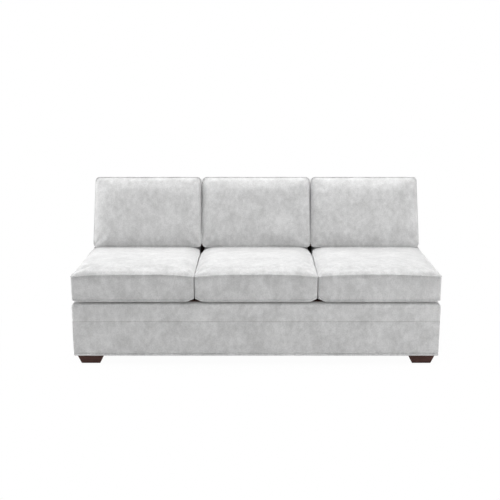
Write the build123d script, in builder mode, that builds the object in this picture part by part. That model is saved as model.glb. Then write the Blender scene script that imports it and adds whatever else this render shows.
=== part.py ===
"""Armless three-seat sofa with loose seat and back cushions.

Millimetres, +Z up. The origin is on the floor under the middle of the sofa, the front
faces -Y and +X is to the right of someone looking at the front.
"""

import os
from math import atan2, cos, degrees, radians, sin, tan

from build123d import *

# ------------------------------------------------------------------ driving sizes
sofa_width = 1930.0
seat_count = 3
seat_depth = 624.0  # base front to the foot of the back cushions
base_height = 288.0  # lower hem to the deck that the seat cushions lie on
foot_height = 48.0
glide_thickness = 3.0
back_height = 850.0  # floor to the top of the upholstered back
back_top_thickness = 74.0
inside_rake = 12.0  # degrees, the face that the back cushions lean on
outside_rake = 6.0  # degrees, the rear face

# Clearances
soft_gap = 0.3  # a cushion to what carries it
cushion_gap = 3.0  # cushion to cushion
tuck_gap = 6.0  # rear of a seat cushion to the inside back
fit_gap = 0.1  # radial, a bolt in its hole

# Seat cushions
seat_side_inset = 2.5
seat_front_inset = 10.0
seat_boxing = 143.7  # lower face to the upper seam
seat_crown = 22.0
seat_shoulder = 75.0  # how far in from the seam the rounded shoulder ends
seat_dome = 4.0  # how much the top falls from its middle to the middle of each side
seat_bottom_round = 16.0
seat_side_pull = 4.0  # how far each side draws in between its corners
seat_corner = 9.0

# Back cushions
back_cushion_thickness = 185.0
back_cushion_over = 8.4  # how far the rear edge rises over the back
back_crown = 35.0
back_shoulder = 60.0
back_dome = 5.0
back_rear_round = 14.0
back_foot_trim = 2.0  # how much the level foot takes off the front seam's lower side
back_corner = 27.0
outer_taper = 12.0  # how much an outermost side leans in at the top
inner_taper = 4.0

shoulder_steps = 3  # rings that a shoulder is made of

# Cushion filling and zip
core_inset = 30.0
core_top_inset = 8.0
zip_length = 500.0
zip_tape_width = 14.0
zip_recess = 7.5  # how deep the zip lies in its placket
tape_thickness = 1.2
coil_width = 5.0
coil_height = 1.0
slider_gap = 0.3
slider_length = 13.0
slider_mouth = 9.0  # width where the coils enter
slider_tail = 6.0
slider_height = 3.0
pull_length = 20.0
pull_width = 5.0
pull_bevel = 1.4
pull_thickness = 1.2
zip_end_margin = 2.0

# Upholstery layers
border_height = 95.0
border_thickness = 12.0
border_round = 14.0
lip_width = 40.0
cloth_thickness = 2.0
panel_thickness = 10.0
panel_round = 4.0
panel_setback = 2.0
welt_height = 10.0
welt_thickness = 11.0
welt_round = 4.5
inside_foam = 12.0
strap_thickness = 2.0
outside_cloth = 3.0
outside_board = 2.0
top_roll_height = 12.0
top_roll_round = 10.0
dust_cover_thickness = 1.2
dust_cover_inset = 8.0

# Frame
board = 25.0
rail_height = 246.0
rib_height = 234.0
rib_spacing = 480.0
rib_count = 3
rear_rail_height = 139.0
lower_back_rail_height = 60.0
top_rail_height = 45.0
foot_block_size = (130.0, 110.0, 45.0)

# Springs and webbing
spring_count = 12
spring_loop = 48.0
spring_tip = 5.0
spring_bar_count = 20
wire = 3.6
clip_width = 18.0
clip_height = 7.0
clip_base = 1.5  # also the thickness of the hook
clip_foot = 8.0  # how far the base runs out past the bar
clip_lip = 3.8  # how far the hook reaches back over the bar
tie_wire_diameter = 2.5
tie_wire_count = 3
tie_wire_sides = 6
edge_roll_width = 45.0
strap_width = 50.0
straps_per_seat = 3
strap_lap = 30.0  # how far a strap is stapled over a rail

# Feet
foot_top = (142.0, 110.0)
foot_taper = 22.0  # how far each side leans in towards the floor
foot_side_inset = 15.0
foot_front_inset = 12.0
centre_foot_top = (52.0, 52.0)
centre_foot_taper = 6.0
glide_radius = 14.0
bolt_diameter = 8.0
bolt_in_wood = 30.0
bolt_in_foot = 22.0
foot_hole_clearance = 0.5

# ------------------------------------------------------------------ levels and planes
rail_bottom = glide_thickness + foot_height
deck_top = rail_bottom + base_height
rail_top = rail_bottom + rail_height
clip_top = rail_top + clip_height
spring_top = rail_top + clip_base + wire
seat_bottom = deck_top + soft_gap
seat_seam = seat_bottom + seat_boxing
seat_top = seat_seam + seat_crown
back_cushion_bottom = seat_top + soft_gap
back_cushion_top = back_height + back_cushion_over
border_bottom = deck_top - border_height
roll_bottom = back_height - top_roll_height
lean = radians(inside_rake)
tilt = radians(outside_rake)

back_foot_depth = seat_depth + (back_cushion_thickness + soft_gap) / cos(lean)
top_depth = back_foot_depth + (roll_bottom - back_cushion_bottom) * tan(lean)
sofa_depth = top_depth + back_top_thickness
front = -sofa_depth / 2
rear = sofa_depth / 2


def inside_y(z, inset=0.0):
    """Y of the leaning face that the back cushions rest on, or of a layer behind it."""
    return front + back_foot_depth + (z - back_cushion_bottom) * tan(lean) + inset / cos(lean)


def outside_y(z, inset=0.0):
    """Y of the leaning rear face, or of a layer in front of it."""
    return rear - (roll_bottom - z) * tan(tilt) - inset / cos(tilt)


foam_face = cloth_thickness
strap_face = foam_face + inside_foam
frame_face = strap_face + strap_thickness
board_face = outside_cloth
frame_rear = outside_cloth + outside_board

side_x = sofa_width / 2
panel_x = side_x - panel_setback
frame_x = side_x - border_thickness
bay_x = frame_x - board
frame_front = front + border_thickness
rail_inner = frame_front + board
post_front = inside_y(deck_top, frame_face)
spring_rail_front = post_front - board


# ------------------------------------------------------------------ where the feet stand
foot_x = panel_x - foot_side_inset - foot_top[0] / 2
front_foot_y = front + foot_front_inset + foot_top[1] / 2
rear_foot_y = outside_y(rail_bottom) - foot_front_inset - foot_top[1] / 2
foot_places = {
    "front_left_foot": (-foot_x, front_foot_y),
    "front_right_foot": (foot_x, front_foot_y),
    "rear_left_foot": (-foot_x, rear_foot_y),
    "rear_right_foot": (foot_x, rear_foot_y),
}
bolt_hole_radius = bolt_diameter / 2 + fit_gap
centre_foot_place = (0.0, (rail_inner + spring_rail_front) / 2)
all_foot_places = [*foot_places.values(), centre_foot_place]


# ------------------------------------------------------------------ helpers
def yz_outline(points, x):
    """A face through (y, z) points, in the upright plane that crosses the sofa at x."""
    with BuildSketch(Plane.YZ.offset(x)) as face:
        with BuildLine():
            Polyline(*points, close=True)
        make_face()
    return face.sketch


def upright(y_low, y_high, z_low, z_high):
    """Corners of a rectangle seen from the side."""
    return [(y_low, z_low), (y_high, z_low), (y_high, z_high), (y_low, z_high)]


def inside_layer(z_low, z_high, near, far):
    """Corners of a layer that leans with the inside back, between two depths in it."""
    return [
        (inside_y(z_low, near), z_low),
        (inside_y(z_low, far), z_low),
        (inside_y(z_high, far), z_high),
        (inside_y(z_high, near), z_high),
    ]


def outside_layer(z_low, z_high, near, far):
    """Corners of a layer that leans with the rear face, between two depths in it."""
    return [
        (outside_y(z_low, far), z_low),
        (outside_y(z_low, near), z_low),
        (outside_y(z_high, near), z_high),
        (outside_y(z_high, far), z_high),
    ]


def save(piece, name):
    """Names a finished piece and writes it."""
    piece.part.label = name
    export_step(piece.part, f"parts/{name}.step")


def spread(count, spacing):
    """Evenly spaced positions about zero."""
    return [(i - (count - 1) / 2) * spacing for i in range(count)]


ON_FLOOR = (Align.CENTER, Align.CENTER, Align.MIN)
AGAINST = (Align.CENTER, Align.MIN, Align.MIN)  # from a board's face towards the rear, upwards

os.makedirs("parts", exist_ok=True)

# ------------------------------------------------------------------ seat frame
with BuildPart() as front_rail:
    front_rail_outline = upright(frame_front, rail_inner, rail_bottom, rail_top)
    extrude(yz_outline(front_rail_outline, -frame_x), amount=2 * frame_x)
save(front_rail, "front_rail")

with BuildPart() as spring_rail:
    spring_rail_outline = upright(spring_rail_front, post_front, rail_bottom, rail_top)
    extrude(yz_outline(spring_rail_outline, -bay_x), amount=2 * bay_x)
save(spring_rail, "spring_rail")

with BuildPart() as side_rails:
    side_rail_outline = upright(rail_inner, post_front, rail_bottom, clip_top)
    for x in (-frame_x, bay_x):
        extrude(yz_outline(side_rail_outline, x), amount=board)
save(side_rails, "side_rails")

with BuildPart() as seat_ribs:
    rib_outline = upright(rail_inner, spring_rail_front, rail_bottom, rail_bottom + rib_height)
    for x in spread(rib_count, rib_spacing):
        extrude(yz_outline(rib_outline, x - board / 2), amount=board)
    with Locations((*centre_foot_place, rail_bottom + bolt_in_wood)):
        Hole(radius=bolt_hole_radius, depth=bolt_in_wood)
save(seat_ribs, "seat_ribs")

rear_rail_top = rail_bottom + rear_rail_height
with BuildPart() as rear_rail:
    rear_rail_outline = outside_layer(rail_bottom, rear_rail_top, frame_rear, frame_rear + board)
    extrude(yz_outline(rear_rail_outline, -bay_x), amount=2 * bay_x)
save(rear_rail, "rear_rail")

# ------------------------------------------------------------------ back frame
top_rail_bottom = roll_bottom - top_rail_height
post_outline = [
    (post_front, rail_bottom),
    (outside_y(rail_bottom, frame_rear), rail_bottom),
    (outside_y(top_rail_bottom, frame_rear), top_rail_bottom),
    (inside_y(top_rail_bottom, frame_face), top_rail_bottom),
    (post_front, deck_top),
]
with BuildPart() as back_posts:
    for x in (-frame_x, bay_x):
        extrude(yz_outline(post_outline, x), amount=board)
save(back_posts, "back_posts")

top_rail_outline = [
    (inside_y(top_rail_bottom, frame_face), top_rail_bottom),
    (outside_y(top_rail_bottom, frame_rear), top_rail_bottom),
    (outside_y(roll_bottom, frame_rear), roll_bottom),
    (inside_y(roll_bottom, frame_face), roll_bottom),
]
with BuildPart() as top_rail:
    extrude(yz_outline(top_rail_outline, -frame_x), amount=2 * frame_x)
save(top_rail, "top_rail")

lower_back_rail_top = deck_top + lower_back_rail_height
with BuildPart() as lower_back_rail:
    lower_rail_outline = inside_layer(deck_top, lower_back_rail_top, frame_face, frame_face + board)
    extrude(yz_outline(lower_rail_outline, -bay_x), amount=2 * bay_x)
save(lower_back_rail, "lower_back_rail")

seat_pitch = sofa_width / seat_count
stile_outline = [
    (inside_y(lower_back_rail_top, frame_face), lower_back_rail_top),
    (outside_y(lower_back_rail_top, frame_rear), lower_back_rail_top),
    (outside_y(top_rail_bottom, frame_rear), top_rail_bottom),
    (inside_y(top_rail_bottom, frame_face), top_rail_bottom),
]
with BuildPart() as back_stiles:
    for x in spread(seat_count - 1, seat_pitch):
        extrude(yz_outline(stile_outline, x - board / 2), amount=board)
save(back_stiles, "back_stiles")

strap_pitch = (seat_pitch - board) / straps_per_seat
strap_low = lower_back_rail_top - strap_lap
strap_high = top_rail_bottom + strap_lap
strap_outline = inside_layer(strap_low, strap_high, strap_face, frame_face)
with BuildPart() as back_webbing:
    for seat_x in spread(seat_count, seat_pitch):
        for x in spread(straps_per_seat, strap_pitch):
            left_edge = seat_x + x - strap_width / 2
            extrude(yz_outline(strap_outline, left_edge), amount=strap_width)
save(back_webbing, "back_webbing")

# ------------------------------------------------------------------ feet
def foot_outline(middle, half, taper):
    """Corners of a foot seen square on, wide at the rails and narrow at the glide."""
    return [
        (middle - half + taper, glide_thickness),
        (middle + half - taper, glide_thickness),
        (middle + half, rail_bottom),
        (middle - half, rail_bottom),
    ]


def make_foot(name, place, top, taper):
    """A foot that narrows from the rails down to its glide, with a blind hole for its bolt."""
    x, y = place
    half_x, half_y = top[0] / 2, top[1] / 2
    with BuildPart() as foot:
        extrude(yz_outline(foot_outline(y, half_y, taper), x - half_x), amount=top[0])
        with BuildSketch(Plane.XZ.offset(-y - half_y)):
            with BuildLine():
                Polyline(*foot_outline(x, half_x, taper), close=True)
            make_face()
        extrude(amount=top[1], mode=Mode.INTERSECT)
        with Locations((*place, rail_bottom)):
            Hole(radius=bolt_hole_radius, depth=bolt_in_foot)
    save(foot, name)


for name, place in foot_places.items():
    make_foot(name, place, foot_top, foot_taper)
make_foot("centre_foot", centre_foot_place, centre_foot_top, centre_foot_taper)

with BuildPart() as foot_bolts:
    with Locations(*[(x, y, rail_bottom - bolt_in_foot) for x, y in all_foot_places]):
        Cylinder(
            radius=bolt_diameter / 2,
            height=bolt_in_foot + bolt_in_wood,
            align=ON_FLOOR,
        )
save(foot_bolts, "foot_bolts")

with BuildPart() as foot_glides:
    with Locations(*[(x, y, 0) for x, y in all_foot_places]):
        Cylinder(radius=glide_radius, height=glide_thickness, align=ON_FLOOR)
save(foot_glides, "foot_glides")

# The front blocks fill the rail corners, and the rear ones the space between the two rear rails.
block_x = bay_x - foot_block_size[0] / 2
rear_block_depth = outside_y(rail_bottom, frame_rear + board) - post_front
with BuildPart() as foot_blocks:
    with Locations((-block_x, rail_inner, rail_bottom), (block_x, rail_inner, rail_bottom)):
        Box(*foot_block_size, align=AGAINST)
    with Locations((-block_x, post_front, rail_bottom), (block_x, post_front, rail_bottom)):
        Box(foot_block_size[0], rear_block_depth, foot_block_size[2], align=AGAINST)
    with Locations(*[(*place, rail_bottom + bolt_in_wood) for place in foot_places.values()]):
        Hole(radius=bolt_hole_radius, depth=bolt_in_wood)
save(foot_blocks, "foot_blocks")

# ------------------------------------------------------------------ springs and deck
front_bar_y = frame_front + board / 2
rear_bar_y = post_front - board / 2
bar_pitch = (rear_bar_y - front_bar_y) / (spring_bar_count - 1)


def spring_path():
    """Points of one sinuous spring: cross bars joined by pointed loop ends, side by side in turn."""
    points = []
    for i in range(spring_bar_count):
        side = 1 if i % 2 == 0 else -1
        y = front_bar_y + i * bar_pitch
        points += [(-side * spring_loop / 2, y), (side * spring_loop / 2, y)]
        if i < spring_bar_count - 1:
            points.append((side * (spring_loop / 2 + spring_tip), y + bar_pitch / 2))
    return points


spring_xs = spread(spring_count, 2 * bay_x / spring_count)
with BuildSketch() as one_spring:
    with BuildLine():
        Polyline(*spring_path())
    trace(line_width=wire)
with BuildPart() as seat_springs:
    with BuildSketch(Plane.XY.offset(spring_top - wire)):
        with Locations(*[(x, 0) for x in spring_xs]):
            add(one_spring.sketch)
    extrude(amount=wire)
save(seat_springs, "seat_springs")


def clip_outline(bar_y, outward):
    """A clip seen from the side: a base on the rail, and a hook round the bar's inner side."""
    shut = wire / 2 + fit_gap
    hook_under = clip_height - clip_base
    local = [
        (-clip_foot, 0),
        (shut + clip_base, 0),
        (shut + clip_base, clip_height),
        (-clip_lip, clip_height),
        (-clip_lip, hook_under),
        (shut, hook_under),
        (shut, clip_base),
        (-clip_foot, clip_base),
    ]
    return [(bar_y - outward * y, rail_top + z) for y, z in local]


with BuildPart() as spring_clips:
    for x in spring_xs:
        for bar_y, outward in ((front_bar_y, -1), (rear_bar_y, 1)):
            extrude(yz_outline(clip_outline(bar_y, outward), x - clip_width / 2), amount=clip_width)
save(spring_clips, "spring_clips")

tie_wire_pitch = (spring_rail_front - rail_inner) / (tie_wire_count + 1)
tie_wire_z = spring_top - wire - tie_wire_diameter / 2
tie_wire_mid = (spring_rail_front + rail_inner) / 2
with BuildPart() as tie_wires:
    for y in spread(tie_wire_count, tie_wire_pitch):
        with BuildSketch(Plane.YZ.offset(-bay_x)):
            with Locations((tie_wire_mid + y, tie_wire_z)):
                RegularPolygon(radius=tie_wire_diameter / 2, side_count=tie_wire_sides)
    extrude(amount=2 * bay_x)
save(tie_wires, "tie_wires")


def deck_rectangle(half_width, y_low, y_high):
    """A rectangle in plan, centred across the sofa; used inside a sketch."""
    with Locations((0, (y_low + y_high) / 2)):
        return Rectangle(2 * half_width, y_high - y_low, mode=Mode.PRIVATE)


def outer_faces(piece):
    """The front, left and right faces of a piece that wraps round three sides of the box."""
    across = piece.faces().sort_by(Axis.X)
    return [piece.faces().sort_by(Axis.Y)[0], across[0], across[-1]]


cloth_bottom = deck_top - cloth_thickness
foam_x = frame_x - edge_roll_width
foam_front = frame_front + edge_roll_width
foam_rear = post_front - edge_roll_width
with BuildPart() as edge_roll:
    with BuildSketch(Plane.XY.offset(clip_top)):
        add(deck_rectangle(frame_x, frame_front, post_front))
        add(deck_rectangle(foam_x, foam_front, foam_rear), mode=Mode.SUBTRACT)
    extrude(amount=cloth_bottom - clip_top)
save(edge_roll, "edge_roll")

with BuildPart() as deck_foam:
    with BuildSketch(Plane.XY.offset(spring_top)):
        add(deck_rectangle(foam_x, foam_front, foam_rear))
    extrude(amount=cloth_bottom - spring_top)
save(deck_foam, "deck_foam")

lip_x = side_x - lip_width
lip_front = front + lip_width
with BuildPart() as deck_cloth:
    with BuildSketch(Plane.XY.offset(cloth_bottom)):
        add(deck_rectangle(lip_x, lip_front, post_front))
    extrude(amount=cloth_thickness)
save(deck_cloth, "deck_cloth")

# ------------------------------------------------------------------ upholstery of the box
def side_band(z_low, z_high, y_low):
    """A side cover's outline, from y_low back to the outside cover's inner face."""
    return [
        (y_low, z_low),
        (outside_y(z_low, board_face), z_low),
        (outside_y(z_high, board_face), z_high),
        (y_low, z_high),
    ]


with BuildPart() as seat_border:
    border_outline = upright(front, frame_front, border_bottom, deck_top)
    extrude(yz_outline(border_outline, -side_x), amount=2 * side_x)
    for x in (-side_x, frame_x):
        band = side_band(border_bottom, deck_top, frame_front)
        extrude(yz_outline(band, x), amount=border_thickness)
    with BuildSketch(Plane.XY.offset(cloth_bottom)):
        add(deck_rectangle(side_x, front, post_front))
        add(deck_rectangle(lip_x, lip_front, post_front), mode=Mode.SUBTRACT)
    extrude(amount=cloth_thickness)
    border_skin = outer_faces(seat_border)
    top_edges = [e for f in border_skin for e in f.edges().filter_by_position(Axis.Z, deck_top, deck_top)]
    fillet([*top_edges, *border_skin[0].edges().filter_by(Axis.Z)], radius=border_round)
save(seat_border, "seat_border")

with BuildPart() as front_panel:
    panel_front = front + panel_setback
    panel_bottom = rail_bottom + welt_height
    front_outline = upright(panel_front, frame_front, panel_bottom, border_bottom)
    extrude(yz_outline(front_outline, -panel_x), amount=2 * panel_x)
    fillet(front_panel.faces().sort_by(Axis.Y)[0].edges().filter_by(Axis.Z), radius=panel_round)
save(front_panel, "front_panel")

with BuildPart() as side_panels:
    for x in (-panel_x, frame_x):
        band = side_band(panel_bottom, border_bottom, frame_front)
        extrude(yz_outline(band, x), amount=panel_thickness)
save(side_panels, "side_panels")

welt_x = frame_x + welt_thickness
welt_rear = outside_y(rail_bottom, board_face)
with BuildPart() as bottom_welt:
    with BuildSketch(Plane.XY.offset(rail_bottom)):
        add(deck_rectangle(welt_x, frame_front - welt_thickness, welt_rear))
        add(deck_rectangle(frame_x, frame_front, welt_rear), mode=Mode.SUBTRACT)
    extrude(amount=welt_height)
    long_edges = [e for f in outer_faces(bottom_welt) for e in f.edges().filter_by(Axis.Z, reverse=True)]
    fillet(long_edges, radius=welt_round)
save(bottom_welt, "bottom_welt")

dust_x = frame_x - dust_cover_inset
dust_rear = outside_y(rail_bottom, frame_rear + dust_cover_inset)
with BuildPart() as dust_cover:
    with BuildSketch(Plane.XY.offset(rail_bottom - dust_cover_thickness)):
        add(deck_rectangle(dust_x, frame_front + dust_cover_inset, dust_rear))
        around = 2 * foot_hole_clearance
        with Locations(*foot_places.values()):
            Rectangle(foot_top[0] + around, foot_top[1] + around, mode=Mode.SUBTRACT)
        with Locations(centre_foot_place):
            Rectangle(centre_foot_top[0] + around, centre_foot_top[1] + around, mode=Mode.SUBTRACT)
    extrude(amount=dust_cover_thickness)
save(dust_cover, "dust_cover")

# ------------------------------------------------------------------ upholstery of the back
with BuildPart() as inside_back_foam:
    foam_outline = inside_layer(deck_top, roll_bottom, foam_face, strap_face)
    extrude(yz_outline(foam_outline, -frame_x), amount=2 * frame_x)
save(inside_back_foam, "inside_back_foam")

with BuildPart() as inside_back:
    inside_outline = inside_layer(deck_top, roll_bottom, 0, foam_face)
    extrude(yz_outline(inside_outline, -frame_x), amount=2 * frame_x)
save(inside_back, "inside_back")

with BuildPart() as outside_back_board:
    board_outline = outside_layer(rail_bottom, roll_bottom, board_face, frame_rear)
    extrude(yz_outline(board_outline, -frame_x), amount=2 * frame_x)
save(outside_back_board, "outside_back_board")

with BuildPart() as outside_back:
    outside_outline = outside_layer(rail_bottom, roll_bottom, 0, board_face)
    extrude(yz_outline(outside_outline, -panel_x), amount=2 * panel_x)
save(outside_back, "outside_back")

back_end_outline = [
    (inside_y(deck_top), deck_top),
    (outside_y(deck_top, board_face), deck_top),
    (outside_y(roll_bottom, board_face), roll_bottom),
    (inside_y(roll_bottom), roll_bottom),
]
with BuildPart() as back_ends:
    for x in (-panel_x, frame_x):
        extrude(yz_outline(back_end_outline, x), amount=panel_thickness)
save(back_ends, "back_ends")

top_roll_outline = [
    (inside_y(roll_bottom), roll_bottom),
    (rear, roll_bottom),
    (rear, back_height),
    (inside_y(back_height), back_height),
]
with BuildPart() as back_top_roll:
    extrude(yz_outline(top_roll_outline, -panel_x), amount=2 * panel_x)
    fillet(back_top_roll.faces().sort_by(Axis.Z)[-1].edges(), radius=top_roll_round)
save(back_top_roll, "back_top_roll")

# ------------------------------------------------------------------ cushion forms
cushion_width = (sofa_width - 2 * seat_side_inset - (seat_count - 1) * cushion_gap) / seat_count
half_cushion = cushion_width / 2
cushion_xs = spread(seat_count, cushion_width + cushion_gap)
seat_cushion_front = front + seat_front_inset
seat_cushion_rear = inside_y(deck_top) - tuck_gap
seat_mid_y = (seat_cushion_front + seat_cushion_rear) / 2
seat_half_depth = (seat_cushion_rear - seat_cushion_front) / 2
back_boxing = back_cushion_thickness - back_crown
back_cushion_rise = (back_cushion_top - back_cushion_bottom) / cos(lean)
back_cushion_foot = inside_y(back_cushion_bottom, -soft_gap)


def shoulder_rings(crown, shoulder):
    """(rise, inset) of each step from a seam up a shoulder, steep at first and nearly level last."""
    left = [1 - i / shoulder_steps for i in range(shoulder_steps + 1)]
    return [
        (crown * (low * low - high * high), shoulder * (low - high))
        for low, high in zip(left, left[1:])
    ]


def trim_to_dome(base, half_length, drop, top):
    """Cuts what is being built to a dome over a plane, its top above the plane's origin.

    The dome falls by the drop at both ends of the length, along the plane's own Y, and
    at both sides of the cushion.
    """
    across_radius = (half_cushion**2 + drop**2) / (2 * drop)
    with BuildSketch(Plane(origin=base.origin, x_dir=base.y_dir, z_dir=base.x_dir)) as region:
        with BuildLine():
            ends = (half_length, top - drop), (-half_length, top - drop)
            ThreePointArc(ends[1], (0, top), ends[0])
            Polyline(ends[0], (half_length, 0), (-half_length, 0), ends[1])
        make_face()
    centre = base.origin + base.z_dir * (top - across_radius)
    revolve(region.sketch, axis=Axis(centre, base.y_dir), mode=Mode.INTERSECT)


def add_shoulder(form, axis, crown, shoulder):
    """Stacks the shoulder's tapered rings on the face of a form that lies furthest along an axis."""
    for rise, inset in shoulder_rings(crown, shoulder):
        extrude(form.faces().sort_by(axis)[-1], amount=rise, taper=degrees(atan2(inset, rise)))


def seat_outline(x, z):
    """Plan of a seat cushion, each side drawn in between its corners."""
    low, high = seat_cushion_front, seat_cushion_rear
    left, right = x - half_cushion, x + half_cushion
    corners = [(left, low), (right, low), (right, high), (left, high)]
    with BuildSketch(Plane.XY.offset(z)) as outline:
        with BuildLine():
            for start, end in zip(map(Vector, corners), map(Vector, corners[1:] + corners[:1])):
                inward = (end - start).normalized().rotate(Axis.Z, 90)
                ThreePointArc(start, (start + end) / 2 + inward * seat_side_pull, end)
        make_face()
    return outline.sketch


def seat_space(x):
    """Plan of the space that a seat cushion fills, the corners rounded as the cushion's are."""
    with BuildSketch() as space:
        with Locations((x, seat_mid_y)):
            RectangleRounded(cushion_width, 2 * seat_half_depth, seat_corner)
    return space.sketch


def back_plane(x, forward):
    """The plane of a back cushion's rear face, moved forward; its own Y runs up the rake."""
    foot = (x, back_cushion_foot, back_cushion_bottom)
    return Plane(origin=foot, x_dir=(1, 0, 0), z_dir=(0, -cos(lean), sin(lean))).offset(forward)


def back_outline(x, tapers, low, radius):
    """Front view of a back cushion, from a level in its rear plane up, its upper corners rounded."""
    high = back_cushion_rise
    with BuildSketch(back_plane(x, 0)) as outline:
        with BuildLine():
            Polyline(
                (-half_cushion, low),
                (half_cushion, low),
                (half_cushion - tapers[1], high),
                (tapers[0] - half_cushion, high),
                close=True,
            )
        make_face()
        if radius:
            fillet(outline.vertices().sort_by(Axis.Z)[-2:], radius)
    return outline.sketch


def back_space(x):
    """Front view of the space over a seat cushion, its lower corners rounded as the cushion's are."""
    from_rear = Plane(origin=(x, rear, back_cushion_bottom), x_dir=(1, 0, 0), z_dir=(0, -1, 0))
    with BuildSketch(from_rear) as space:
        with Locations((0, back_height / 2)):
            Rectangle(cushion_width, back_height)
        fillet(space.vertices().sort_by(Axis.Z)[:2], back_corner)
    return space.sketch


# ------------------------------------------------------------------ cushions
def make_zip(floor, name):
    """A zip on the floor of its placket, and the slider that runs along it."""
    with BuildPart() as chain:
        with Locations(floor):
            Box(zip_length, zip_tape_width, tape_thickness, align=ON_FLOOR)
            Box(zip_length, coil_width, tape_thickness + coil_height, align=ON_FLOOR)
    save(chain, f"{name}_zip")

    slider_floor = floor.offset(tape_thickness + coil_height + slider_gap)
    slider_start = zip_end_margin - zip_length / 2
    slider_end = slider_start + slider_length
    with BuildPart() as slider:
        with BuildSketch(slider_floor):
            with BuildLine():
                Polyline(
                    (slider_start, -slider_mouth / 2),
                    (slider_end, -slider_tail / 2),
                    (slider_end, slider_tail / 2),
                    (slider_start, slider_mouth / 2),
                    close=True,
                )
            make_face()
        extrude(amount=slider_height)
        with BuildSketch(slider_floor.offset(slider_height)):
            with Locations((slider_start + slider_length / 2 + pull_length / 2, 0)):
                pull = Rectangle(pull_length, pull_width)
            chamfer(pull.vertices(), pull_bevel)
        extrude(amount=pull_thickness)
    save(slider, f"{name}_zip_slider")


def make_cushion(name, form, core_plane, core_size, zip_plane, recess):
    """Cuts the filling's space and the placket out of a form, and makes what goes into them."""
    zip_floor = zip_plane.offset(-recess)
    with BuildPart() as cover:
        add(form)
        with Locations(core_plane):
            Box(*core_size, align=ON_FLOOR, mode=Mode.SUBTRACT)
        with Locations(zip_floor):
            Box(zip_length, zip_tape_width, recess, align=ON_FLOOR, mode=Mode.SUBTRACT)
    save(cover, f"{name}_cover")

    with BuildPart() as core:
        with Locations(core_plane):
            Box(*core_size, align=ON_FLOOR)
    save(core, f"{name}_core")
    make_zip(zip_floor, name)


sides = ("left", "middle", "right")
side_tapers = ((outer_taper, inner_taper), (inner_taper, inner_taper), (inner_taper, outer_taper))
core_width = cushion_width - 2 * core_inset
seat_core_size = (
    core_width,
    2 * (seat_half_depth - core_inset),
    seat_boxing - 2 * core_top_inset,
)
back_core_size = (
    core_width,
    back_cushion_rise - 2 * core_inset,
    back_cushion_thickness - 2 * core_inset,
)

for side, x in zip(sides, cushion_xs):
    with BuildPart() as seat_form:
        extrude(seat_outline(x, seat_bottom), amount=seat_boxing)
        fillet(seat_form.faces().sort_by(Axis.Z)[0].edges(), radius=seat_bottom_round)
        add_shoulder(seat_form, Axis.Z, seat_crown, seat_shoulder)
        extrude(seat_space(x), amount=back_height, mode=Mode.INTERSECT)
        trim_to_dome(Plane(origin=(x, seat_mid_y, 0)), seat_half_depth, seat_dome, seat_top)
    zip_place = (x, seat_cushion_rear, seat_bottom + seat_boxing / 2)
    make_cushion(
        f"{side}_seat",
        seat_form.part,
        Plane(origin=(x, seat_mid_y, seat_bottom + core_top_inset)),
        seat_core_size,
        Plane(origin=zip_place, x_dir=(1, 0, 0), z_dir=(0, 1, 0)),
        zip_recess + seat_side_pull,
    )

for side, x, tapers in zip(sides, cushion_xs, side_tapers):
    forward = Axis(back_plane(x, 0).origin, back_plane(x, 0).z_dir)
    seam_foot = -back_boxing * tan(lean) - back_foot_trim
    half_rise = (back_cushion_rise - seam_foot) / 2
    middle = back_plane(x, 0)
    middle.origin += middle.y_dir * (seam_foot + half_rise)
    with BuildPart() as back_form:
        extrude(back_outline(x, tapers, seam_foot, 0), amount=back_boxing)
        rear_edges = back_form.faces().sort_by(forward)[0].edges().sort_by(Axis.Z)[1:]
        fillet(rear_edges, radius=back_rear_round)
        add_shoulder(back_form, forward, back_crown, back_shoulder)
        rounded = back_outline(x, tapers, -back_cushion_thickness, back_corner)
        extrude(rounded, amount=back_cushion_thickness, mode=Mode.INTERSECT)
        trim_to_dome(middle, half_rise, back_dome, back_cushion_thickness)
        extrude(back_space(x), amount=sofa_depth, mode=Mode.INTERSECT)
    zip_y = back_cushion_foot - back_boxing / 2 / cos(lean)
    core_foot = back_plane(x, core_inset)
    core_foot.origin += core_foot.y_dir * back_cushion_rise / 2
    make_cushion(
        f"{side}_back",
        back_form.part,
        core_foot,
        back_core_size,
        Plane(origin=(x, zip_y, back_cushion_bottom), x_dir=(1, 0, 0), z_dir=(0, 0, -1)),
        zip_recess,
    )
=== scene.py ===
"""Looks of an armless three-seat sofa: velvet cushions, upholstered base and back, wooden feet.

Metres, +Z up, the front faces -Y. Every piece keeps its place in its mesh and its object at
the origin, so patterns on object coordinates stay put on the cloth when a cushion moves.
"""

import logging
import math
from collections.abc import Callable
from dataclasses import dataclass
from enum import Enum

import bmesh
import bpy
import numpy as np
from bpy.types import Material, Mesh, Node, NodeSocket, NodeTree, Object
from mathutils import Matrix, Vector


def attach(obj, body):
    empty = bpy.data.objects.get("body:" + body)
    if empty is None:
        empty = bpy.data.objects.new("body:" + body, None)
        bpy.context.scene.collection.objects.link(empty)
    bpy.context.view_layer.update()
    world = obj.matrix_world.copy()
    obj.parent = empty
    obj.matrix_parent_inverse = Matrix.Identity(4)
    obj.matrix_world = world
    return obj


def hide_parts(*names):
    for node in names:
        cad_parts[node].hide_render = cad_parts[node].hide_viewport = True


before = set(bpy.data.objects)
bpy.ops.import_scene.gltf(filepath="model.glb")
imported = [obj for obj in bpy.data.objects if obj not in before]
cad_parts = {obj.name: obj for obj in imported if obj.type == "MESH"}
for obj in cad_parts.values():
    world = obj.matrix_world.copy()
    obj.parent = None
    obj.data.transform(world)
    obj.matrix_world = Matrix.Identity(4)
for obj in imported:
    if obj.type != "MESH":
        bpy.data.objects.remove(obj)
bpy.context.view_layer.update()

LOG = logging.getLogger("sofa")
MM = 0.001
WHITE = (1.0, 1.0, 1.0, 1.0)
WAVE_SCALE = 0.314  # A wave node's bands are 2 pi / 20 apart at a scale of 1.
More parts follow.
